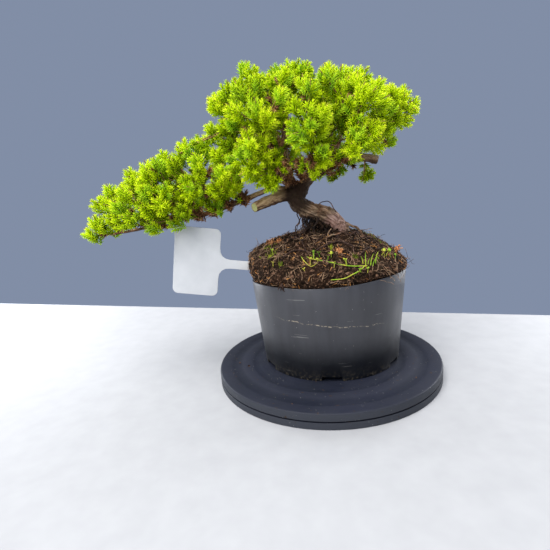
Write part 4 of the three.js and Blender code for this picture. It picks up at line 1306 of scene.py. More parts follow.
def bent_line(start, heading, tip):
    """Points of a curve that leaves start along heading and bends to the tip."""
    control = start + heading * 0.4 * (tip - start).length
    shares = np.linspace(0, 1, LINE_POINTS)
    return np.array([(1 - t) ** 2 * start + 2 * t * (1 - t) * control + t * t * tip for t in shares])


def clear_of_soil(point):
    return point.z > soil_height(point.x, point.y) + 2.0


def leading_lines(limb_name, share, tips):
    """The spray's leading stems: one to each tip, one to their middle, and one to either side of it."""
    start, heading = spray_start(limb_name, share, tips)
    ends = [Vector(tip) for tip in tips]
    lines = [bent_line(start, heading, ends[0])]
    fork = Vector(lines[0][4])
    turn = Vector(lines[0][5] - lines[0][3]).normalized()
    lines += [bent_line(fork, turn, end) for end in ends[1:]]
    middle = sum(ends, Vector()) / len(ends)
    way = middle - start
    spread = ends[-1] - ends[0] if len(ends) > 1 else Vector((0, 0, 1))
    side = way.cross(spread).normalized()
    over = side.cross(way).normalized()
    wide = max(FAN_LEAST, min(FAN_MOST, FAN_SHARE * way.length))
    for across, along, back in FAN:
        end = middle + side * across * wide + over * along * wide - way * back
        if clear_of_soil(end):
            lines.append(bent_line(fork, turn, end))
    return lines


taken = {}


def take_room(point, gap, kind):
    """True, and the place is taken, when nothing of the same kind has its middle nearer than the gap."""
    cell = tuple(int(value // gap) for value in point)
    around = product(*((value - 1, value, value + 1) for value in cell))
    if any((other - point).length < gap for key in around for other in taken.get((kind, *key), ())):
        return False
    taken.setdefault((kind, *cell), []).append(point)
    return True


def place_shoot(pieces, start, end, draw, age, bloom=0.0, dry=0.0):
    """Copies one of the two stock shoots that are nearest in length, stretched to run from start to end."""
    length = (end - start).length
    choices = sorted(STOCK, key=lambda entry: abs(entry[0] - length))[:2]
    stock_length, template = choices[draw.randrange(2)]
    copy = duplicate(template, pieces)
    size = length / stock_length
    width = min(1.12, max(0.85, size))
    copy.matrix_world = (
        Matrix.Translation(start * MM)
        @ (end - start).to_track_quat("Z", "Y").to_matrix().to_4x4()
        @ Matrix.Rotation(draw.uniform(0, 2 * math.pi), 4, "Z")
        @ Matrix.Diagonal((width, width, size, 1))
    )
    for name, value in (("age", age), ("bloom", bloom), ("dry", dry)):
        copy.data.attributes[name].data.foreach_set("value", [value] * len(copy.data.vertices))


def grow_plume(tip, axis, draw, pieces, dry=0.0, vigour=1.0):
    """A blunt tuft of shoots round the end of a stem."""
    radius = PLUME_RADIUS * draw.uniform(0.85, 1.18) * (0.6 + 0.4 * vigour)
    across = axis.orthogonal().normalized()
    beside = axis.cross(across)
    age, start = draw.uniform(0.4, 1.0) * vigour, draw.uniform(0, 2 * math.pi)
    bloom = draw.choice((0.0, 0.0, 0.25, 0.6))
    for i in range(PLUME_SHOOTS):
        share = (i + 0.5) / PLUME_SHOOTS
        polar, turn = math.acos(1 - 1.12 * share), start + GOLDEN_TURN * i
        way = axis * math.cos(polar) + (across * math.cos(turn) + beside * math.sin(turn)) * math.sin(polar)
        end = tip + (way - axis) * radius * draw.uniform(0.9, 1.06) + Vector((0, 0, draw.uniform(-0.5, 1.2)))
        root = tip - axis * radius * (1.05 + 1.4 * share)
        if clear_of_soil(end) and take_room(root.lerp(end, 0.75), PLUME_SHOOT_GAP, "shoot"):
            withered = 1.0 if draw.random() < dry else 0.0
            place_shoot(pieces, root, end, draw, age, bloom if draw.random() < 0.6 else 0.0, withered)


def grow_line(line, draw, pieces, stems, first=SPRAY_FIRST, dry=0.0, must=False, vigour=1.0):
    """Ends a stem in a plume where there is room, and gives it short shoots from the share called first."""
    frames = path_frames(line)
    length = float(np.linalg.norm(np.diff(line, axis=0), axis=1).sum())
    tip, ahead, _, _ = frames[-1]
    axis = (ahead + Vector((0, 0, PLUME_PULL))).normalized()
    room = take_room(tip - axis * PLUME_RADIUS, PLUME_GAP, "plume")
    if not (room or must):
        return
    stems.append((line, (0.95, 0.7, 0.5, 0.35)))
    grow_plume(tip, axis, draw, pieces, dry, vigour)
    turn = draw.uniform(0, 2 * math.pi)
    steps = LINE_POINTS - 1
    for at in np.arange(first * length, length - BARE_TIP, TWIG_STEP):
        point, ahead, across, beside = frames[min(int(at / length * steps), steps - 1)]
        turn += GOLDEN_TURN + draw.uniform(-0.35, 0.35)
        out = across * math.cos(turn) + beside * math.sin(turn)
        angle = TWIG_ANGLE * draw.uniform(0.75, 1.15)
        heading = ahead * math.cos(angle) + out * math.sin(angle) + Vector((0, 0, LIGHT_PULL))
        end = point + heading.normalized() * draw.uniform(*SHORT_SHOOT)
        if clear_of_soil(end) and take_room(point.lerp(end, 0.6), SHOOT_GAP, "shoot"):
            withered = 1.0 if draw.random() < max(0.7 * dry, 0.15) else 0.0
            place_shoot(pieces, point, end, draw, draw.uniform(0.1, 0.4), 0.0, withered)


# %% [markdown]
# A needle's colour follows its youth: dark at the foot of a shoot, yellow-green at its tip and at the
# needle's own tip, and brighter on a vigorous plume. Some plumes have a bluer bloom, and withered shoots
# are brown.

# %% Needle and twig materials
def needle_material():
    material, tree, shader, place = start_material("juniper_needles")
    rise, reach = attribute(tree, "rise"), attribute(tree, "reach")
    youth = maths(tree, "ADD", times(tree, reach, 0.34), times(tree, rise, 0.26))
    youth = maths(tree, "ADD", youth, times(tree, attribute(tree, "age"), 0.34))
    patchy = maths(tree, "SUBTRACT", noise_mask(tree, place, 45, 3), 0.5)
    youth = maths(tree, "ADD", youth, times(tree, patchy, 0.35))
    shaded = [(0.12, (0.035, 0.065, 0.001)), (0.34, (0.170, 0.270, 0.001))]
    fresh = [(0.58, (0.500, 0.670, 0.002)), (0.80, (0.760, 0.890, 0.020)), (1.0, (0.80, 0.74, 0.04))]
    colour = ramp(tree, youth, shaded + fresh)
    colour = blend_colours(tree, times(tree, attribute(tree, "bloom"), 0.5), colour, (0.20, 0.54, 0.04))
    browns = [(0.38, (0.045, 0.018, 0.008)), (0.50, (0.19, 0.082, 0.030)), (0.62, (0.58, 0.33, 0.16))]
    brown = ramp(tree, noise_mask(tree, place, 210, 4, 0.7), browns)
    colour = blend_colours(tree, attribute(tree, "dry"), colour, brown)
    rough = ramp(tree, noise_mask(tree, place, 700, 2), [(0.3, 0.42), (0.7, 0.60)])
    finish_surface(tree, shader, colour, rough, 0.10)
    return material


def twig_material():
    material, tree, shader, place = start_material("twig_bark")
    grain = noise_mask(tree, place, 900, 4)
    stops = [(0.3, (0.11, 0.055, 0.018)), (0.7, (0.38, 0.22, 0.06))]
    finish_surface(tree, shader, ramp(tree, grain, stops), 0.8)
    bump(tree, shader, grain, 0.5, 0.0003)
    return material


NEEDLES = needle_material()
TWIG_BARK = twig_material()
for _, shoot in STOCK:
    shoot.data.materials.append(NEEDLES)


# %% Grow the sprays
def join_growth(name, shoots, stems, *nodes):
    """Joins the shoots and their stems into one piece."""
    twigs = tubes(name, stems, 0)
    twigs.data.materials.append(TWIG_BARK)
    finish_piece(join([twigs] + shoots, name), "plant", "leaves", *nodes)


def grow_spray(name, number, limb_name, share, tips):
    draw = random.Random(500 + number)
    shoots, stems = [], []
    for i, line in enumerate(leading_lines(limb_name, share, tips)):
        grow_line(line, draw, shoots, stems, must=i < len(tips), vigour=WEAK_SPRAYS.get(name, 1.0))
    join_growth(f"leafy_{name}", shoots, stems, f"spray_{name}")
    return len(shoots)


shoot_count = 0
for number, (name, (limb_name, share, tips)) in enumerate(SPRAYS.items()):
    shoot_count += grow_spray(name, number, limb_name, share, tips)
print("shoots", shoot_count)

# %% [markdown]
# ## Growth between the sprays
# A juniper's crown is closed: every limb carries short twigs that fill what the sprays leave open. The
# crown's outline is described by a few overlapping egg shapes. Points are spread evenly over their outer
# skin, pushed in and out in lumps, and a twig grows to each from the limb that reaches it best. A place
# where a shoot already grows is left alone, so that the crown is evenly thick and no shoot is spent
# twice.

# %% Fill the crown
EGGS = [
    ((-52, -5, 227), (37, 46, 38)), ((-12, 0, 224), (42, 60, 45)), ((33, 0, 224), (38, 52, 36)),
    ((65, 0, 226), (23, 30, 20)), ((61, 2, 207), (13, 20, 15)), ((-56, -26, 190), (20, 24, 25)),
    ((-8, -28, 197), (30, 28, 21)), ((25, -22, 203), (25, 25, 21)), ((-180, -2, 157), (17, 20, 20)),
    ((-156, -3, 167), (25, 34, 27)), ((-126, 0, 179), (28, 38, 31)), ((-97, -2, 186), (26, 36, 33)),
]
EGG_SPACING = 12.5
LUMP_DEPTH = 11
DRESSED_LENGTH = 30
LITTER_DRY = 0.6
SHADED_VIGOUR = 0.55
LOW_TWIGS = [
    ("front", 0.25, (-17, -32, 189), 0.7), ("front", 0.25, (-5, -35, 185), 0.3),
    ("rightArm", 0.6, (7, -30, 186), 0.5), ("rightArm", 0.8, (17, -33, 191), 0.2),
    ("frontLeft", 0.25, (-30, -30, 183), 0.7), ("frontLeft", 0.5, (-42, -32, 174), 0),
    ("leader", 0.17, (-34, -22, 184), 1), ("rightArm", 0.2, (-14, -18, 186), 1),
    ("rightArm", 0.4, (0, -22, 188), 1), ("rightArm", 1, (31, -9, 189), 1),
    ("cascade", 0.27, (-66, -8, 169), 1), ("cascade", 0.36, (-80, -8, 164), 1),
    ("cascade", 0.45, (-95, -9, 159), 0.8), ("cascade", 0.55, (-110, -9, 157), 0.7),
    ("cascade", 0.64, (-124, -10, 155), 0.7), ("cascade", 0.73, (-140, -12, 149), 0.8),
    ("topRight", 0.5, (-4, -20, 216), 0), ("leader", 0.5, (-33, -21, 206), 0.55),
    ("leader", 0.33, (-31, -20, 195), 0.55), ("front", 0.75, (-9, -38, 199), 0),
    ("topRight", 0.3, (2, -26, 210), 0), ("rightLimb", 0.4, (44, -20, 212), 0),
    ("topRight", 0.4, (24, -24, 222), 0),
]


def in_egg(point, egg, size):
    return sum(((point[k] - egg[0][k]) / (egg[1][k] * size)) ** 2 for k in range(3)) < 1


def in_shade(point):
    """True under the cascade's branch, where nothing green grows."""
    return point.x < -62 and point.z < 149.5 + 0.13 * (point.x + 176) + 0.12 * max(0, -point.y)


def in_litter(point):
    """True low in the middle of the crown, where the light has gone and the shoots have died."""
    return -42 < point.x < 34 and point.y < 10 and point.z < 185


def skin_points():
    """Evenly spread points on the outer skin of all the eggs together."""
    points = []
    for egg in EGGS:
        centre, radii = egg
        pairs = ((radii[0] * radii[1]) ** 1.6, (radii[0] * radii[2]) ** 1.6, (radii[1] * radii[2]) ** 1.6)
        area = 4 * math.pi * (sum(pairs) / 3) ** (1 / 1.6)
        count = int(area / EGG_SPACING**2)
        for i in range(count):
            height = 1 - (2 * i + 1) / count
            flat = math.sqrt(1 - height * height)
            way = Vector((flat * math.cos(GOLDEN_TURN * i), flat * math.sin(GOLDEN_TURN * i), height))
            point = Vector(centre[k] + way[k] * radii[k] for k in range(3))
            point -= way * LUMP_DEPTH * (0.45 + noise.noise(point / 17))
            hidden = any(in_egg(point, other, 0.9) for other in EGGS if other is not egg)
            if not (hidden or in_shade(point)) and clear_of_soil(point):
                points.append(point)
    return points


def limb_posts():
    """Places on the limbs from which a twig may set out."""
    posts = []
    for name, (points, radii, _) in LIMBS.items():
        if name in ("trunk", "stub", "deadStub"):
            continue
        first = 0.3 if name in ("cascade", "leader") else 0.45
        frames = path_frames(smooth_path(points, 41))
        posts += [(name, point, ahead) for i, (point, ahead, _, _) in enumerate(frames) if i >= first * 40]
    return posts


def effort(post, point):
    """How far a twig has to grow from the post to the point, longer where it has to turn back."""
    away = point - post[1]
    return away.length * (1.35 - 0.5 * away.normalized().dot(post[2]))


def dress_limb(name, lines):
    """Grows the twigs of one limb and joins them into one piece."""
    draw = random.Random(len(lines))
    shoots, stems = [], []
    for line, first, dry, must in lines:
        grow_line(line, draw, shoots, stems, first, dry, must, SHADED_VIGOUR if dry > 0.5 else 1.0)
    join_growth(f"twigs_{name}", shoots, stems)
    return len(shoots)


posts = limb_posts()
limb_lines = {}
for point in skin_points():
    name, start, ahead = min(posts, key=lambda post: effort(post, point))
    heading = ((point - start).normalized() + ahead * 0.5 + Vector((0, 0, 0.2))).normalized()
    first = max(0.1, 1 - DRESSED_LENGTH / (point - start).length)
    dry = LITTER_DRY if in_litter(point) else 0.0
    limb_lines.setdefault(name, []).append((bent_line(start, heading, point), first, dry, False))
for name, share, tip, dry in LOW_TWIGS:
    start, heading = spray_start(name, share, [tip])
    limb_lines.setdefault(name, []).append((bent_line(start, heading, Vector(tip)), 0.1, dry, True))
for name, lines in limb_lines.items():
    print(name, len(lines), "twigs", dress_limb(name, lines), "shoots")
for _, shoot in STOCK:
    bpy.data.objects.remove(shoot)

# %% [markdown]
# ## Root ball
# The root ball fills the pot and stands proud of it. It starts on the lathe with one ring for each step
# of its profile, and each ring is then moved to its place. Noise roughens what shows, and crumbs of bark,
# pale roots, dead needles and moss are scattered over it, all copied from a small stock.

# %% The mound's surface
SOIL_BOTTOM = POT_FOOT + POT_FLOOR + POT_WALL + 0.3
SOIL_CORNERS = 250
SIDE_RINGS = 14
TOP_RINGS = 44


def from_axis(turn, radius):
    """X and Y of the point that lies in that direction from the pot's axis, at that distance."""
    return POT_AXIS.x + radius * math.cos(turn), POT_AXIS.y + radius * math.sin(turn)


def soil_outline(turn):
    """The radius and height of each ring in one direction, from the underside to the crown."""
    rim = rim_height(turn)
    proud = edge_height(turn)
    at_rim = pot_radius(rim) - POT_WALL - 0.6
    ripple = 0.7 * math.sin(5 * turn) + 0.5 * math.cos(9 * turn + 1)
    bulge = 3.4 * math.cos(turn) ** 2
    radii = [at_rim, at_rim + 0.6 + ripple + bulge, at_rim - 0.4 + ripple + bulge]
    radii.append(0.955 * MOUND_RADIUS + 0.5 * bulge)
    heights = [rim, (rim + proud) / 2, proud - 2.2, soil_height(*from_axis(turn, radii[3]))]
    places = [0, 0.4, 0.8, 1]
    steps = np.linspace(0, 1, SIDE_RINGS)
    outline = [(pot_radius(SOIL_BOTTOM) - POT_WALL - 0.3, SOIL_BOTTOM)]
    outline += list(zip(np.interp(steps, places, radii), np.interp(steps, places, heights)))
    for share in np.linspace(0.93, 0.015, TOP_RINGS):
        radius = share * MOUND_RADIUS
        outline.append((radius, soil_height(*from_axis(turn, radius))))
    return outline


def make_mound():
    rings = 1 + SIDE_RINGS + TOP_RINGS
    mound = lathe("peat_mound", [(50, ring) for ring in range(rings)], SOIL_CORNERS)
    outlines = {}
    for vertex in mound.data.vertices:
        ring = round(vertex.co.z / MM)
        turn = math.atan2(vertex.co.y, vertex.co.x)
        key = round(turn, 5)
        if key not in outlines:
            outlines[key] = soil_outline(turn)
        radius, height = outlines[key][ring]
        vertex.co = Vector((*from_axis(turn, radius), height)) * MM
    mound.data.update()
    normals = [vertex.normal.copy() for vertex in mound.data.vertices]
    for vertex, normal in zip(mound.data.vertices, normals):
        here = vertex.co / MM
        turn = math.atan2(here.y - POT_AXIS.y, here.x - POT_AXIS.x)
        above = min(1.0, max(0.0, (here.z - rim_height(turn)) / 3))
        rough = 1.1 * noise.fractal(here * 0.22, 0.9, 2.1, 3) + 0.75 * noise.noise(here * 0.75)
        vertex.co += normal * (above * rough) * MM
    smooth(mound, 50)
    return mound


mound = make_mound()
print("mound", len(mound.data.polygons), "faces, open edges", open_edges(mound))


# %% Peat material
def peat_material():
    material, tree, shader, place = start_material("peat")
    fine = noise_mask(tree, place, 520, 8, 0.7)
    broad = noise_mask(tree, place, 60, 4)
    stops = [(0.34, (0.001, 0.001, 0.001)), (0.52, (0.012, 0.007, 0.004)), (0.68, (0.11, 0.060, 0.036))]
    colour = ramp(tree, fine, stops)
    fibres = noise_mask(tree, stretch(tree, place, (260, 1500, 1500), (0.3, 0.4, 0.6)), 1.0, 3)
    strand = ramp(tree, fibres, [(0.60, 0.0), (0.68, 1.0)])
    colour = blend_colours(tree, times(tree, strand, 0.5), colour, (0.15, 0.09, 0.055))
    colour = blend_colours(tree, ramp(tree, broad, [(0.45, 0.0), (0.7, 0.5)]), colour, (0.035, 0.016, 0.010))
    finish_surface(tree, shader, paint_hollow_shade(tree, place, colour), 0.93, 0.05)
    bump(tree, shader, fine, 1.0, 0.0012)
    return material


mound.data.materials.append(peat_material())
finish_piece(mound, "plant", "soil", "root_ball")

# %% [markdown]
# Crumbs, roots and needles lie on the mound's skin, so each takes the middle and the normal of one of its
# faces, drawn at random with a fixed seed. The faces are sorted by place first, because Blender may list
# them in another order on the next run. Part of each thing is in the peat, so that none floats.

# %% Things on the soil
UP = Vector((0, 0, 1))


def copy_to(template, place, pieces):
    duplicate(template, pieces).matrix_world = place


def settle(templates, pieces, name, material):
    """Removes the templates and joins their copies into one piece with the material."""
    for template in templates:
        bpy.data.objects.remove(template)
    piece = join(pieces, name)
    bpy.ops.object.transform_apply(location=True, rotation=True, scale=True)
    piece.data.materials.append(material)
    return piece


def exposed_faces():
    found = []
    for face in mound.data.polygons:
        centre = face.center / MM
        turn = math.atan2(centre.y - POT_AXIS.y, centre.x - POT_AXIS.x)
        if centre.z > rim_height(turn) + 0.8:
            found.append((centre, face.normal.copy(), face.area))
    return sorted(found, key=lambda entry: tuple(entry[0]))


FACES = exposed_faces()
FACE_AREAS = np.cumsum([area for _, _, area in FACES])


def draw_face(draw):
    centre, normal, _ = FACES[int(np.searchsorted(FACE_AREAS, draw.random() * FACE_AREAS[-1]))]
    return centre, normal


def lie_on(centre, normal, draw, size, sink, tilt=0.0):
    """A matrix that lays a thing's XY plane on a face, turned at random."""
    lean = Matrix.Rotation(draw.uniform(-tilt, tilt), 4, "X")
    lean = lean @ Matrix.Rotation(draw.uniform(-tilt, tilt), 4, "Y")
    return (
        Matrix.Translation((centre - normal * sink) * MM)
        @ normal.to_track_quat("Z", "Y").to_matrix().to_4x4()
        @ Matrix.Rotation(draw.uniform(0, 2 * math.pi), 4, "Z")
        @ lean
        @ Matrix.Diagonal((size, size, size, 1))
    )


def tinted(name, colours, roughness=0.9, scale=300):
    """A material whose tone changes from crumb to crumb and within each, with painted shade in the hollow
    under the trunk.
    """
    material, tree, shader, place = start_material(name)
    tone = noise_mask(tree, place, scale, 3, 0.6)
    stops = [(0.32 + 0.36 * i / (len(colours) - 1), colour) for i, colour in enumerate(colours)]
    finish_surface(tree, shader, paint_hollow_shade(tree, place, ramp(tree, tone, stops)), roughness, 0.1)
    bump(tree, shader, noise_mask(tree, place, 2200, 3), 0.5, 0.0002)
    return material


# %% Crumbs and fine roots
CRUMB_FLATNESS = (0.35, 0.5, 0.75, 0.9)
CRUMBS = 2300
HOLLOW_CRUMBS = 620
HOLLOW_FILL = ((-13, -8, -2, 5, 16), (1, 6, 6, 4, 1))
FALLEN_CRUMBS = [(-82, -3.7, 1.5), (-73.2, -11.8, 1.9), (62, -58, 1.1), (-38, -82, 0.9)]
CRUMB_TONES = [(0.002, 0.0012, 0.001), (0.024, 0.0125, 0.008), (0.19, 0.105, 0.064), (0.010, 0.005, 0.003)]
FIBRE_KINDS = 9
FIBRES = 900
FIBRE_TONES = [(0.008, 0.004, 0.003), (0.065, 0.036, 0.022), (0.42, 0.27, 0.165), (0.030, 0.015, 0.010)]


def make_crumb_stock(draw):
    """Flat and blocky bits of peat and bark."""
    stock = []
    for flat in CRUMB_FLATNESS:
        start_clean()
        bpy.ops.mesh.primitive_ico_sphere_add(subdivisions=1, radius=0.5 * MM)
        crumb = bpy.context.object
        for vertex in crumb.data.vertices:
            vertex.co *= draw.uniform(0.7, 1.35)
            vertex.co.z *= flat
            vertex.co.x *= 1.35
        stock.append(crumb)
    return stock


def make_crumbs():
    """Crumbs all over the mound, a heap that fills the hollow under the trunk, and a few that fell off."""
    draw = random.Random(31)
    stock = make_crumb_stock(draw)
    pieces = []
    for _ in range(CRUMBS):
        centre, normal = draw_face(draw)
        size = 0.9 + 2.4 * draw.random() ** 3
        copy_to(draw.choice(stock), lie_on(centre, normal, draw, size, 0.0, 0.7), pieces)
    for _ in range(HOLLOW_CRUMBS):
        x, y = draw.triangular(-13, 16, 0), draw.uniform(-9, 9)
        gap = float(np.interp(x, *HOLLOW_FILL))
        place = Vector((x, y, soil_height(x, y) + draw.random() * gap))
        size = draw.uniform(1.0, 3.0)
        copy_to(draw.choice(stock), lie_on(place, UP, draw, size, 0.0, 1.5), pieces)
    for x, y, size in FALLEN_CRUMBS:
        place = Vector((x, y, TOP_HEIGHT + 0.2 * size))
        copy_to(stock[2], lie_on(place, UP, draw, size, 0.0), pieces)
    return settle(stock, pieces, "peat_crumbs", tinted("peat_crumb", CRUMB_TONES))


def make_fibre(draw):
    """A short curled root in the XY plane, with its middle near the origin."""
    length = draw.uniform(9, 24)
    curl, wave = draw.uniform(-0.09, 0.09), draw.uniform(0.2, 0.5)
    path, heading, place = [], 0.0, Vector((-length / 2, 0, 0))
    for i in range(9):
        path.append(place.copy())
        heading += curl * length / 8 + wave * math.sin(i * 1.7)
        place += Vector((math.cos(heading), math.sin(heading), 0)) * length / 8
        place.z = 0.9 * math.sin(math.pi * (i + 1) / 8) + 0.3 * math.sin(i * 2.3)
    radius = draw.choice((0.10, 0.13, 0.17, 0.30))
    return tubes("fibre", [(path, (radius, 0.8 * radius, 0.4 * radius))], 0)


def make_fibres():
    """Fine roots that lie curled on the peat."""
    draw = random.Random(47)
    stock = [make_fibre(draw) for _ in range(FIBRE_KINDS)]
    pieces = []
    for _ in range(FIBRES):
        centre, normal = draw_face(draw)
        copy_to(draw.choice(stock), lie_on(centre, normal, draw, draw.uniform(0.45, 1.1), 0.15, 0.22), pieces)
    return settle(stock, pieces, "fine_roots", tinted("fine_root", FIBRE_TONES, 0.8, 70))


for piece in (make_crumbs(), make_fibres()):
    finish_piece(piece, "plant", "soil")

# %% [markdown]
# Dead needles have fallen on the peat, in a few places in small heaps of withered shoots, and moss has
# come up in it. A dead needle is the living one's shape, laid flat. A moss tuft is a bunch of fine
# points. One pale grain of fertiliser lies there too.

# %% Litter and moss
FALLEN_NEEDLES = 380
NEEDLE_TONES = [(0.10, 0.035, 0.012), (0.30, 0.12, 0.035), (0.45, 0.22, 0.07), (0.20, 0.08, 0.03)]
MOSS_PATCHES = [
    ((-47, -6), 6), ((-44, -22), 6), ((-38, -38), 3), ((38, 10), 6), ((44, 2), 5),
    ((52, -8), 4), ((20, -44), 3), ((4, -34), 3), ((30, 40), 9), ((-20, 50), 8),
]
MOSS_DENSITY = 9
MOSS_TONES = [(0.04, 0.07, 0.008), (0.14, 0.18, 0.014), (0.36, 0.38, 0.03)]
WITHERED_HEAPS = [
    ((9, -40, 115.5), 3.2, 46), ((-37.6, -3, 122.5), 3.0, 40),
    ((-45, -2, 122), 3.4, 36), ((63, -12, 110), 3.6, 40),
]
WITHERED_TONES = [(0.16, 0.045, 0.012), (0.48, 0.17, 0.045), (0.70, 0.36, 0.16), (0.34, 0.11, 0.03)]
GRAIN_PLACE = (-18.2, -13.5, 124.6)
GRAIN_RADIUS = 1.25
GRAIN_TONES = [(0.30, 0.14, 0.02), (0.62, 0.36, 0.07), (0.80, 0.60, 0.24)]


def make_litter():
    """Single dead needles."""
    draw = random.Random(53)
    dead_needle = small_cone(0.42, 4.6)
    dead_needle.data.transform(Matrix.Rotation(math.pi / 2, 4, "Y"))
    pieces = []
    for _ in range(FALLEN_NEEDLES):
        centre, normal = draw_face(draw)
        copy_to(dead_needle, lie_on(centre, normal, draw, draw.uniform(0.7, 1.15), -0.25, 0.3), pieces)
    return settle([dead_needle], pieces, "fallen_needles", tinted("fallen_needle", NEEDLE_TONES, 0.75, 120))


def make_moss():
    draw = random.Random(59)
    leaflet = small_cone(0.35, 2.2)
    leaflet.data.transform(Matrix.Translation((0, 0, 0.9 * MM)))
    pieces = []
    for (x, y), reach in MOSS_PATCHES:
        for _ in range(MOSS_DENSITY * reach):
            here = Vector((x + draw.gauss(0, 0.45) * reach, y + draw.gauss(0, 0.45) * reach, 0))
            here.z = soil_height(here.x, here.y)
            copy_to(leaflet, lie_on(here, UP, draw, draw.uniform(0.6, 1.3), 0.0, 0.6), pieces)
    return settle([leaflet], pieces, "moss", tinted("moss_green", MOSS_TONES, 0.8, 200))


def make_withered_heaps():
    """Small heaps of withered shoots, as they fall from the crown."""
    draw = random.Random(71)
    needle = small_cone(0.5, 3.6)
    pieces = []
    for centre, reach, count in WITHERED_HEAPS:
        for _ in range(count):
            here = Vector(value + draw.gauss(0, 0.42) * reach for value in centre)
            here.z = max(here.z, soil_height(here.x, here.y) + 0.3)
            facing = Vector((draw.gauss(0, 1), draw.gauss(0, 1), draw.gauss(0, 1))).normalized()
            copy_to(needle, lie_on(here, facing, draw, draw.uniform(0.6, 1.1), 0.0, 0.6), pieces)
    return settle([needle], pieces, "withered_shoots", tinted("withered_shoot", WITHERED_TONES, 0.75, 260))


def make_grain():
    """A pale ochre grain of fertiliser that lies in the peat."""
    start_clean()
    place = Vector(GRAIN_PLACE) * MM
    bpy.ops.mesh.primitive_ico_sphere_add(subdivisions=3, radius=GRAIN_RADIUS * MM, location=place)
    grain = bpy.context.object
    grain.name = "fertiliser_grain"
    bpy.ops.object.transform_apply(location=True, rotation=True, scale=True)
    smooth(grain, 60)
    grain.data.materials.append(tinted("fertiliser_grain", GRAIN_TONES, 0.6, 500))
    return grain


for piece in (make_litter(), make_withered_heaps(), make_grain()):
    finish_piece(piece, "plant", "soil")
finish_piece(make_moss(), "plant", "leaves")

# %% [markdown]
# ## Weeds
# A grass stem lies across the front of the soil and sends up blades, and a few seedlings stand round it
# with pairs of small oval leaves. A blade is a tapered strip, folded along its middle and bent as it is
# placed.

# %% Weeds
GRASS_RUN = [
    on_soil(-20, -38, -0.6), on_soil(-11.6, -44.5, 0.5), on_soil(-1, -49, 0.5),
    on_soil(8, -51, 0.6), on_soil(18, -51.5, 0.6), on_soil(28, -49, 0.2),
]
YELLOW_RUN = [
    on_soil(27, -49, 0.4), on_soil(21, -54.5, 0.5), on_soil(15, -58, 0.8),
    on_soil(8, -61, 0.8), on_soil(-2, -61.5, 0.2),
]
LEFT_RUN = [on_soil(-21, -38, 0.3), on_soil(-20, -44, 0.5), on_soil(-15, -50, 0.4), on_soil(-10, -47, 0.3)]
BLADES = [
    ((25, -49), (-2, -1), 9), ((27, -49), (0, 0), 14), ((29, -48), (2, -1), 8), ((31, -48), (3, 1), 13),
    ((33, -47), (4, 1), 9), ((36, -44), (3, 2), 12), ((12, -51), (-1, -1), 7), ((-12, -43), (1, 1), 8),
    ((44, -33), (5, -2), 6), ((48, -31), (6, 1), 7), ((40, -38), (-4, -2), 5),
]
SEEDLINGS = [
    ((1, -46), 3.2), ((-15, -48), 3.4), ((12, -51.5), 2.6), ((2, -53), 2.4), ((-20, -52), 2.2),
    ((-44, -36), 1.8), ((-43, -23), 2.6), ((-12, -40), 2.4), ((-7, -43), 2.4), ((46, -33), 3.2),
    ((52, -30), 3.4), ((27, -54), 2.2), ((22, -55), 2.0), ((56, -29), 2.4), ((-9, -46), 2.2),
    ((-2, -47), 1.8),
]
RUNS = [
    (GRASS_RUN, 40, (0.28, 0.38, 0.42)),
    (YELLOW_RUN, 24, (0.42, 0.36, 0.24)),
    (LEFT_RUN, 20, (0.22, 0.22, 0.18)),
]
LEAF_THICKNESS = 0.12
WEED_TONES = [(0.07, 0.16, 0.015), (0.22, 0.38, 0.02), (0.46, 0.42, 0.06), (0.17, 0.32, 0.04)]


def make_blade(foot, lean, height):
    """A grass blade: a narrow folded strip that bends over at its tip."""
    start_clean()
    bpy.ops.mesh.primitive_grid_add(x_subdivisions=2, y_subdivisions=6, size=1)
    blade = bpy.context.object
    for vertex in blade.data.vertices:
        share = vertex.co.y + 0.5
        half = 0.36 * (1 - share**2) + 0.04
        across = vertex.co.x * 2 * half
        bend = share**1.6
        rise = height * (share - 0.25 * share**3)
        offset = Vector((lean[0] * bend + across, lean[1] * bend + 0.3 * abs(across), rise))
        vertex.co = (Vector(foot) + offset) * MM
    return blade


def make_leaf(foot, out, length):
    """An oval seedling leaf on a short stalk."""
    start_clean()
    bpy.ops.mesh.primitive_grid_add(x_subdivisions=4, y_subdivisions=4, size=1)
    leaf = bpy.context.object
    side = UP.cross(out).normalized()
    for vertex in leaf.data.vertices:
        share = vertex.co.y + 0.5
        half = 0.36 * length * math.sqrt(max(0.0, math.sin(math.pi * min(1.0, share * 0.96 + 0.02))))
        across = vertex.co.x * 2 * half
        droop = 0.25 * length * math.sin(math.pi * 0.5 * share) + 0.12 * abs(across)
        vertex.co = (Vector(foot) + out * length * share + side * across + Vector((0, 0, droop))) * MM
    return leaf


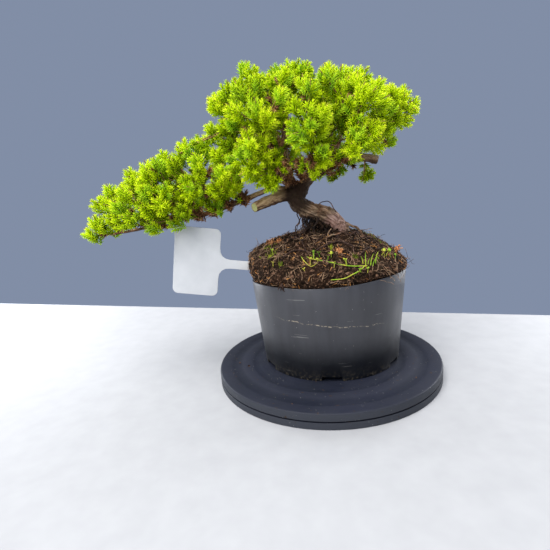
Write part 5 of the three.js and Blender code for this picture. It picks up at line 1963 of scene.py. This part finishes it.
def make_weeds():
    strands = [(smooth_path(points, count), radii) for points, count, radii in RUNS]
    pieces = [make_blade(on_soil(x, y, 0.2), lean, height) for (x, y), lean, height in BLADES]
    draw = random.Random(67)
    for (x, y), length in SEEDLINGS:
        foot = on_soil(x, y, -0.5)
        top = Vector(on_soil(x, y, draw.uniform(0.8, 1.6) * length)) + Vector((draw.uniform(-1, 1), 0, 0))
        strands.append(([foot, top], (0.2, 0.16)))
        turn = draw.uniform(0, math.pi)
        for k in range(draw.choice((2, 3, 4))):
            way = turn + k * 2.4
            out = Vector((math.cos(way), math.sin(way), draw.uniform(0.1, 0.9))).normalized()
            pieces.append(make_leaf(top, out, length * draw.uniform(0.6, 1)))
    pieces.insert(0, tubes("runners", strands, 1))
    weeds = settle([], pieces, "weeds", tinted("weed_green", WEED_TONES, 0.6, 90))
    add_modifier(weeds, "SOLIDIFY", thickness=LEAF_THICKNESS * MM, offset=0)
    smooth(weeds, 50)
    return weeds


finish_piece(make_weeds(), "plant", "leaves", "weed_grass")

# %% [markdown]
# ## Plant label
# The label's outline comes from its CAD node: the points of a copy of its mesh are merged, its flat faces
# are made whole again, and its edges are rounded with a bevel. It is left blank.

# %% Plant label
def make_label():
    start_clean()
    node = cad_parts["plant_label"]
    label = bpy.data.objects.new("blank_label", node.data.copy())
    bpy.context.scene.collection.objects.link(label)
    only(label)
    bpy.ops.object.mode_set(mode="EDIT")
    bpy.ops.mesh.select_all(action="SELECT")
    bpy.ops.mesh.remove_doubles(threshold=0.00001)
    bpy.ops.mesh.dissolve_limited(angle_limit=math.radians(2))
    bpy.ops.object.mode_set(mode="OBJECT")
    label.data.materials.clear()
    bevel_edges(label, SMALL_BEVEL, 3, 60)
    smooth(label, 40)
    return label


def label_plastic():
    material, tree, shader, place = start_material("label_plastic")
    film = noise_mask(tree, place, 70, 4)
    colour = ramp(tree, film, [(0.3, (0.58, 0.595, 0.61)), (0.7, (0.65, 0.66, 0.675))])
    near_soil = near_point(tree, place, Vector((-52, -2, 101)) * MM, 26 * MM)
    stain = times(tree, near_soil, noise_mask(tree, place, 160, 5))
    colour = blend_colours(tree, times(tree, stain, 0.35), colour, (0.30, 0.24, 0.17))
    rough = ramp(tree, noise_mask(tree, place, 300, 3), [(0.3, 0.28), (0.7, 0.42)])
    finish_surface(tree, shader, colour, rough)
    bump(tree, shader, noise_mask(tree, place, 1200, 2), 0.08, 0.0001)
    return material


label = make_label()
label.data.materials.append(label_plastic())
finish_piece(label, "plant", "label_plastic", "plant_label")
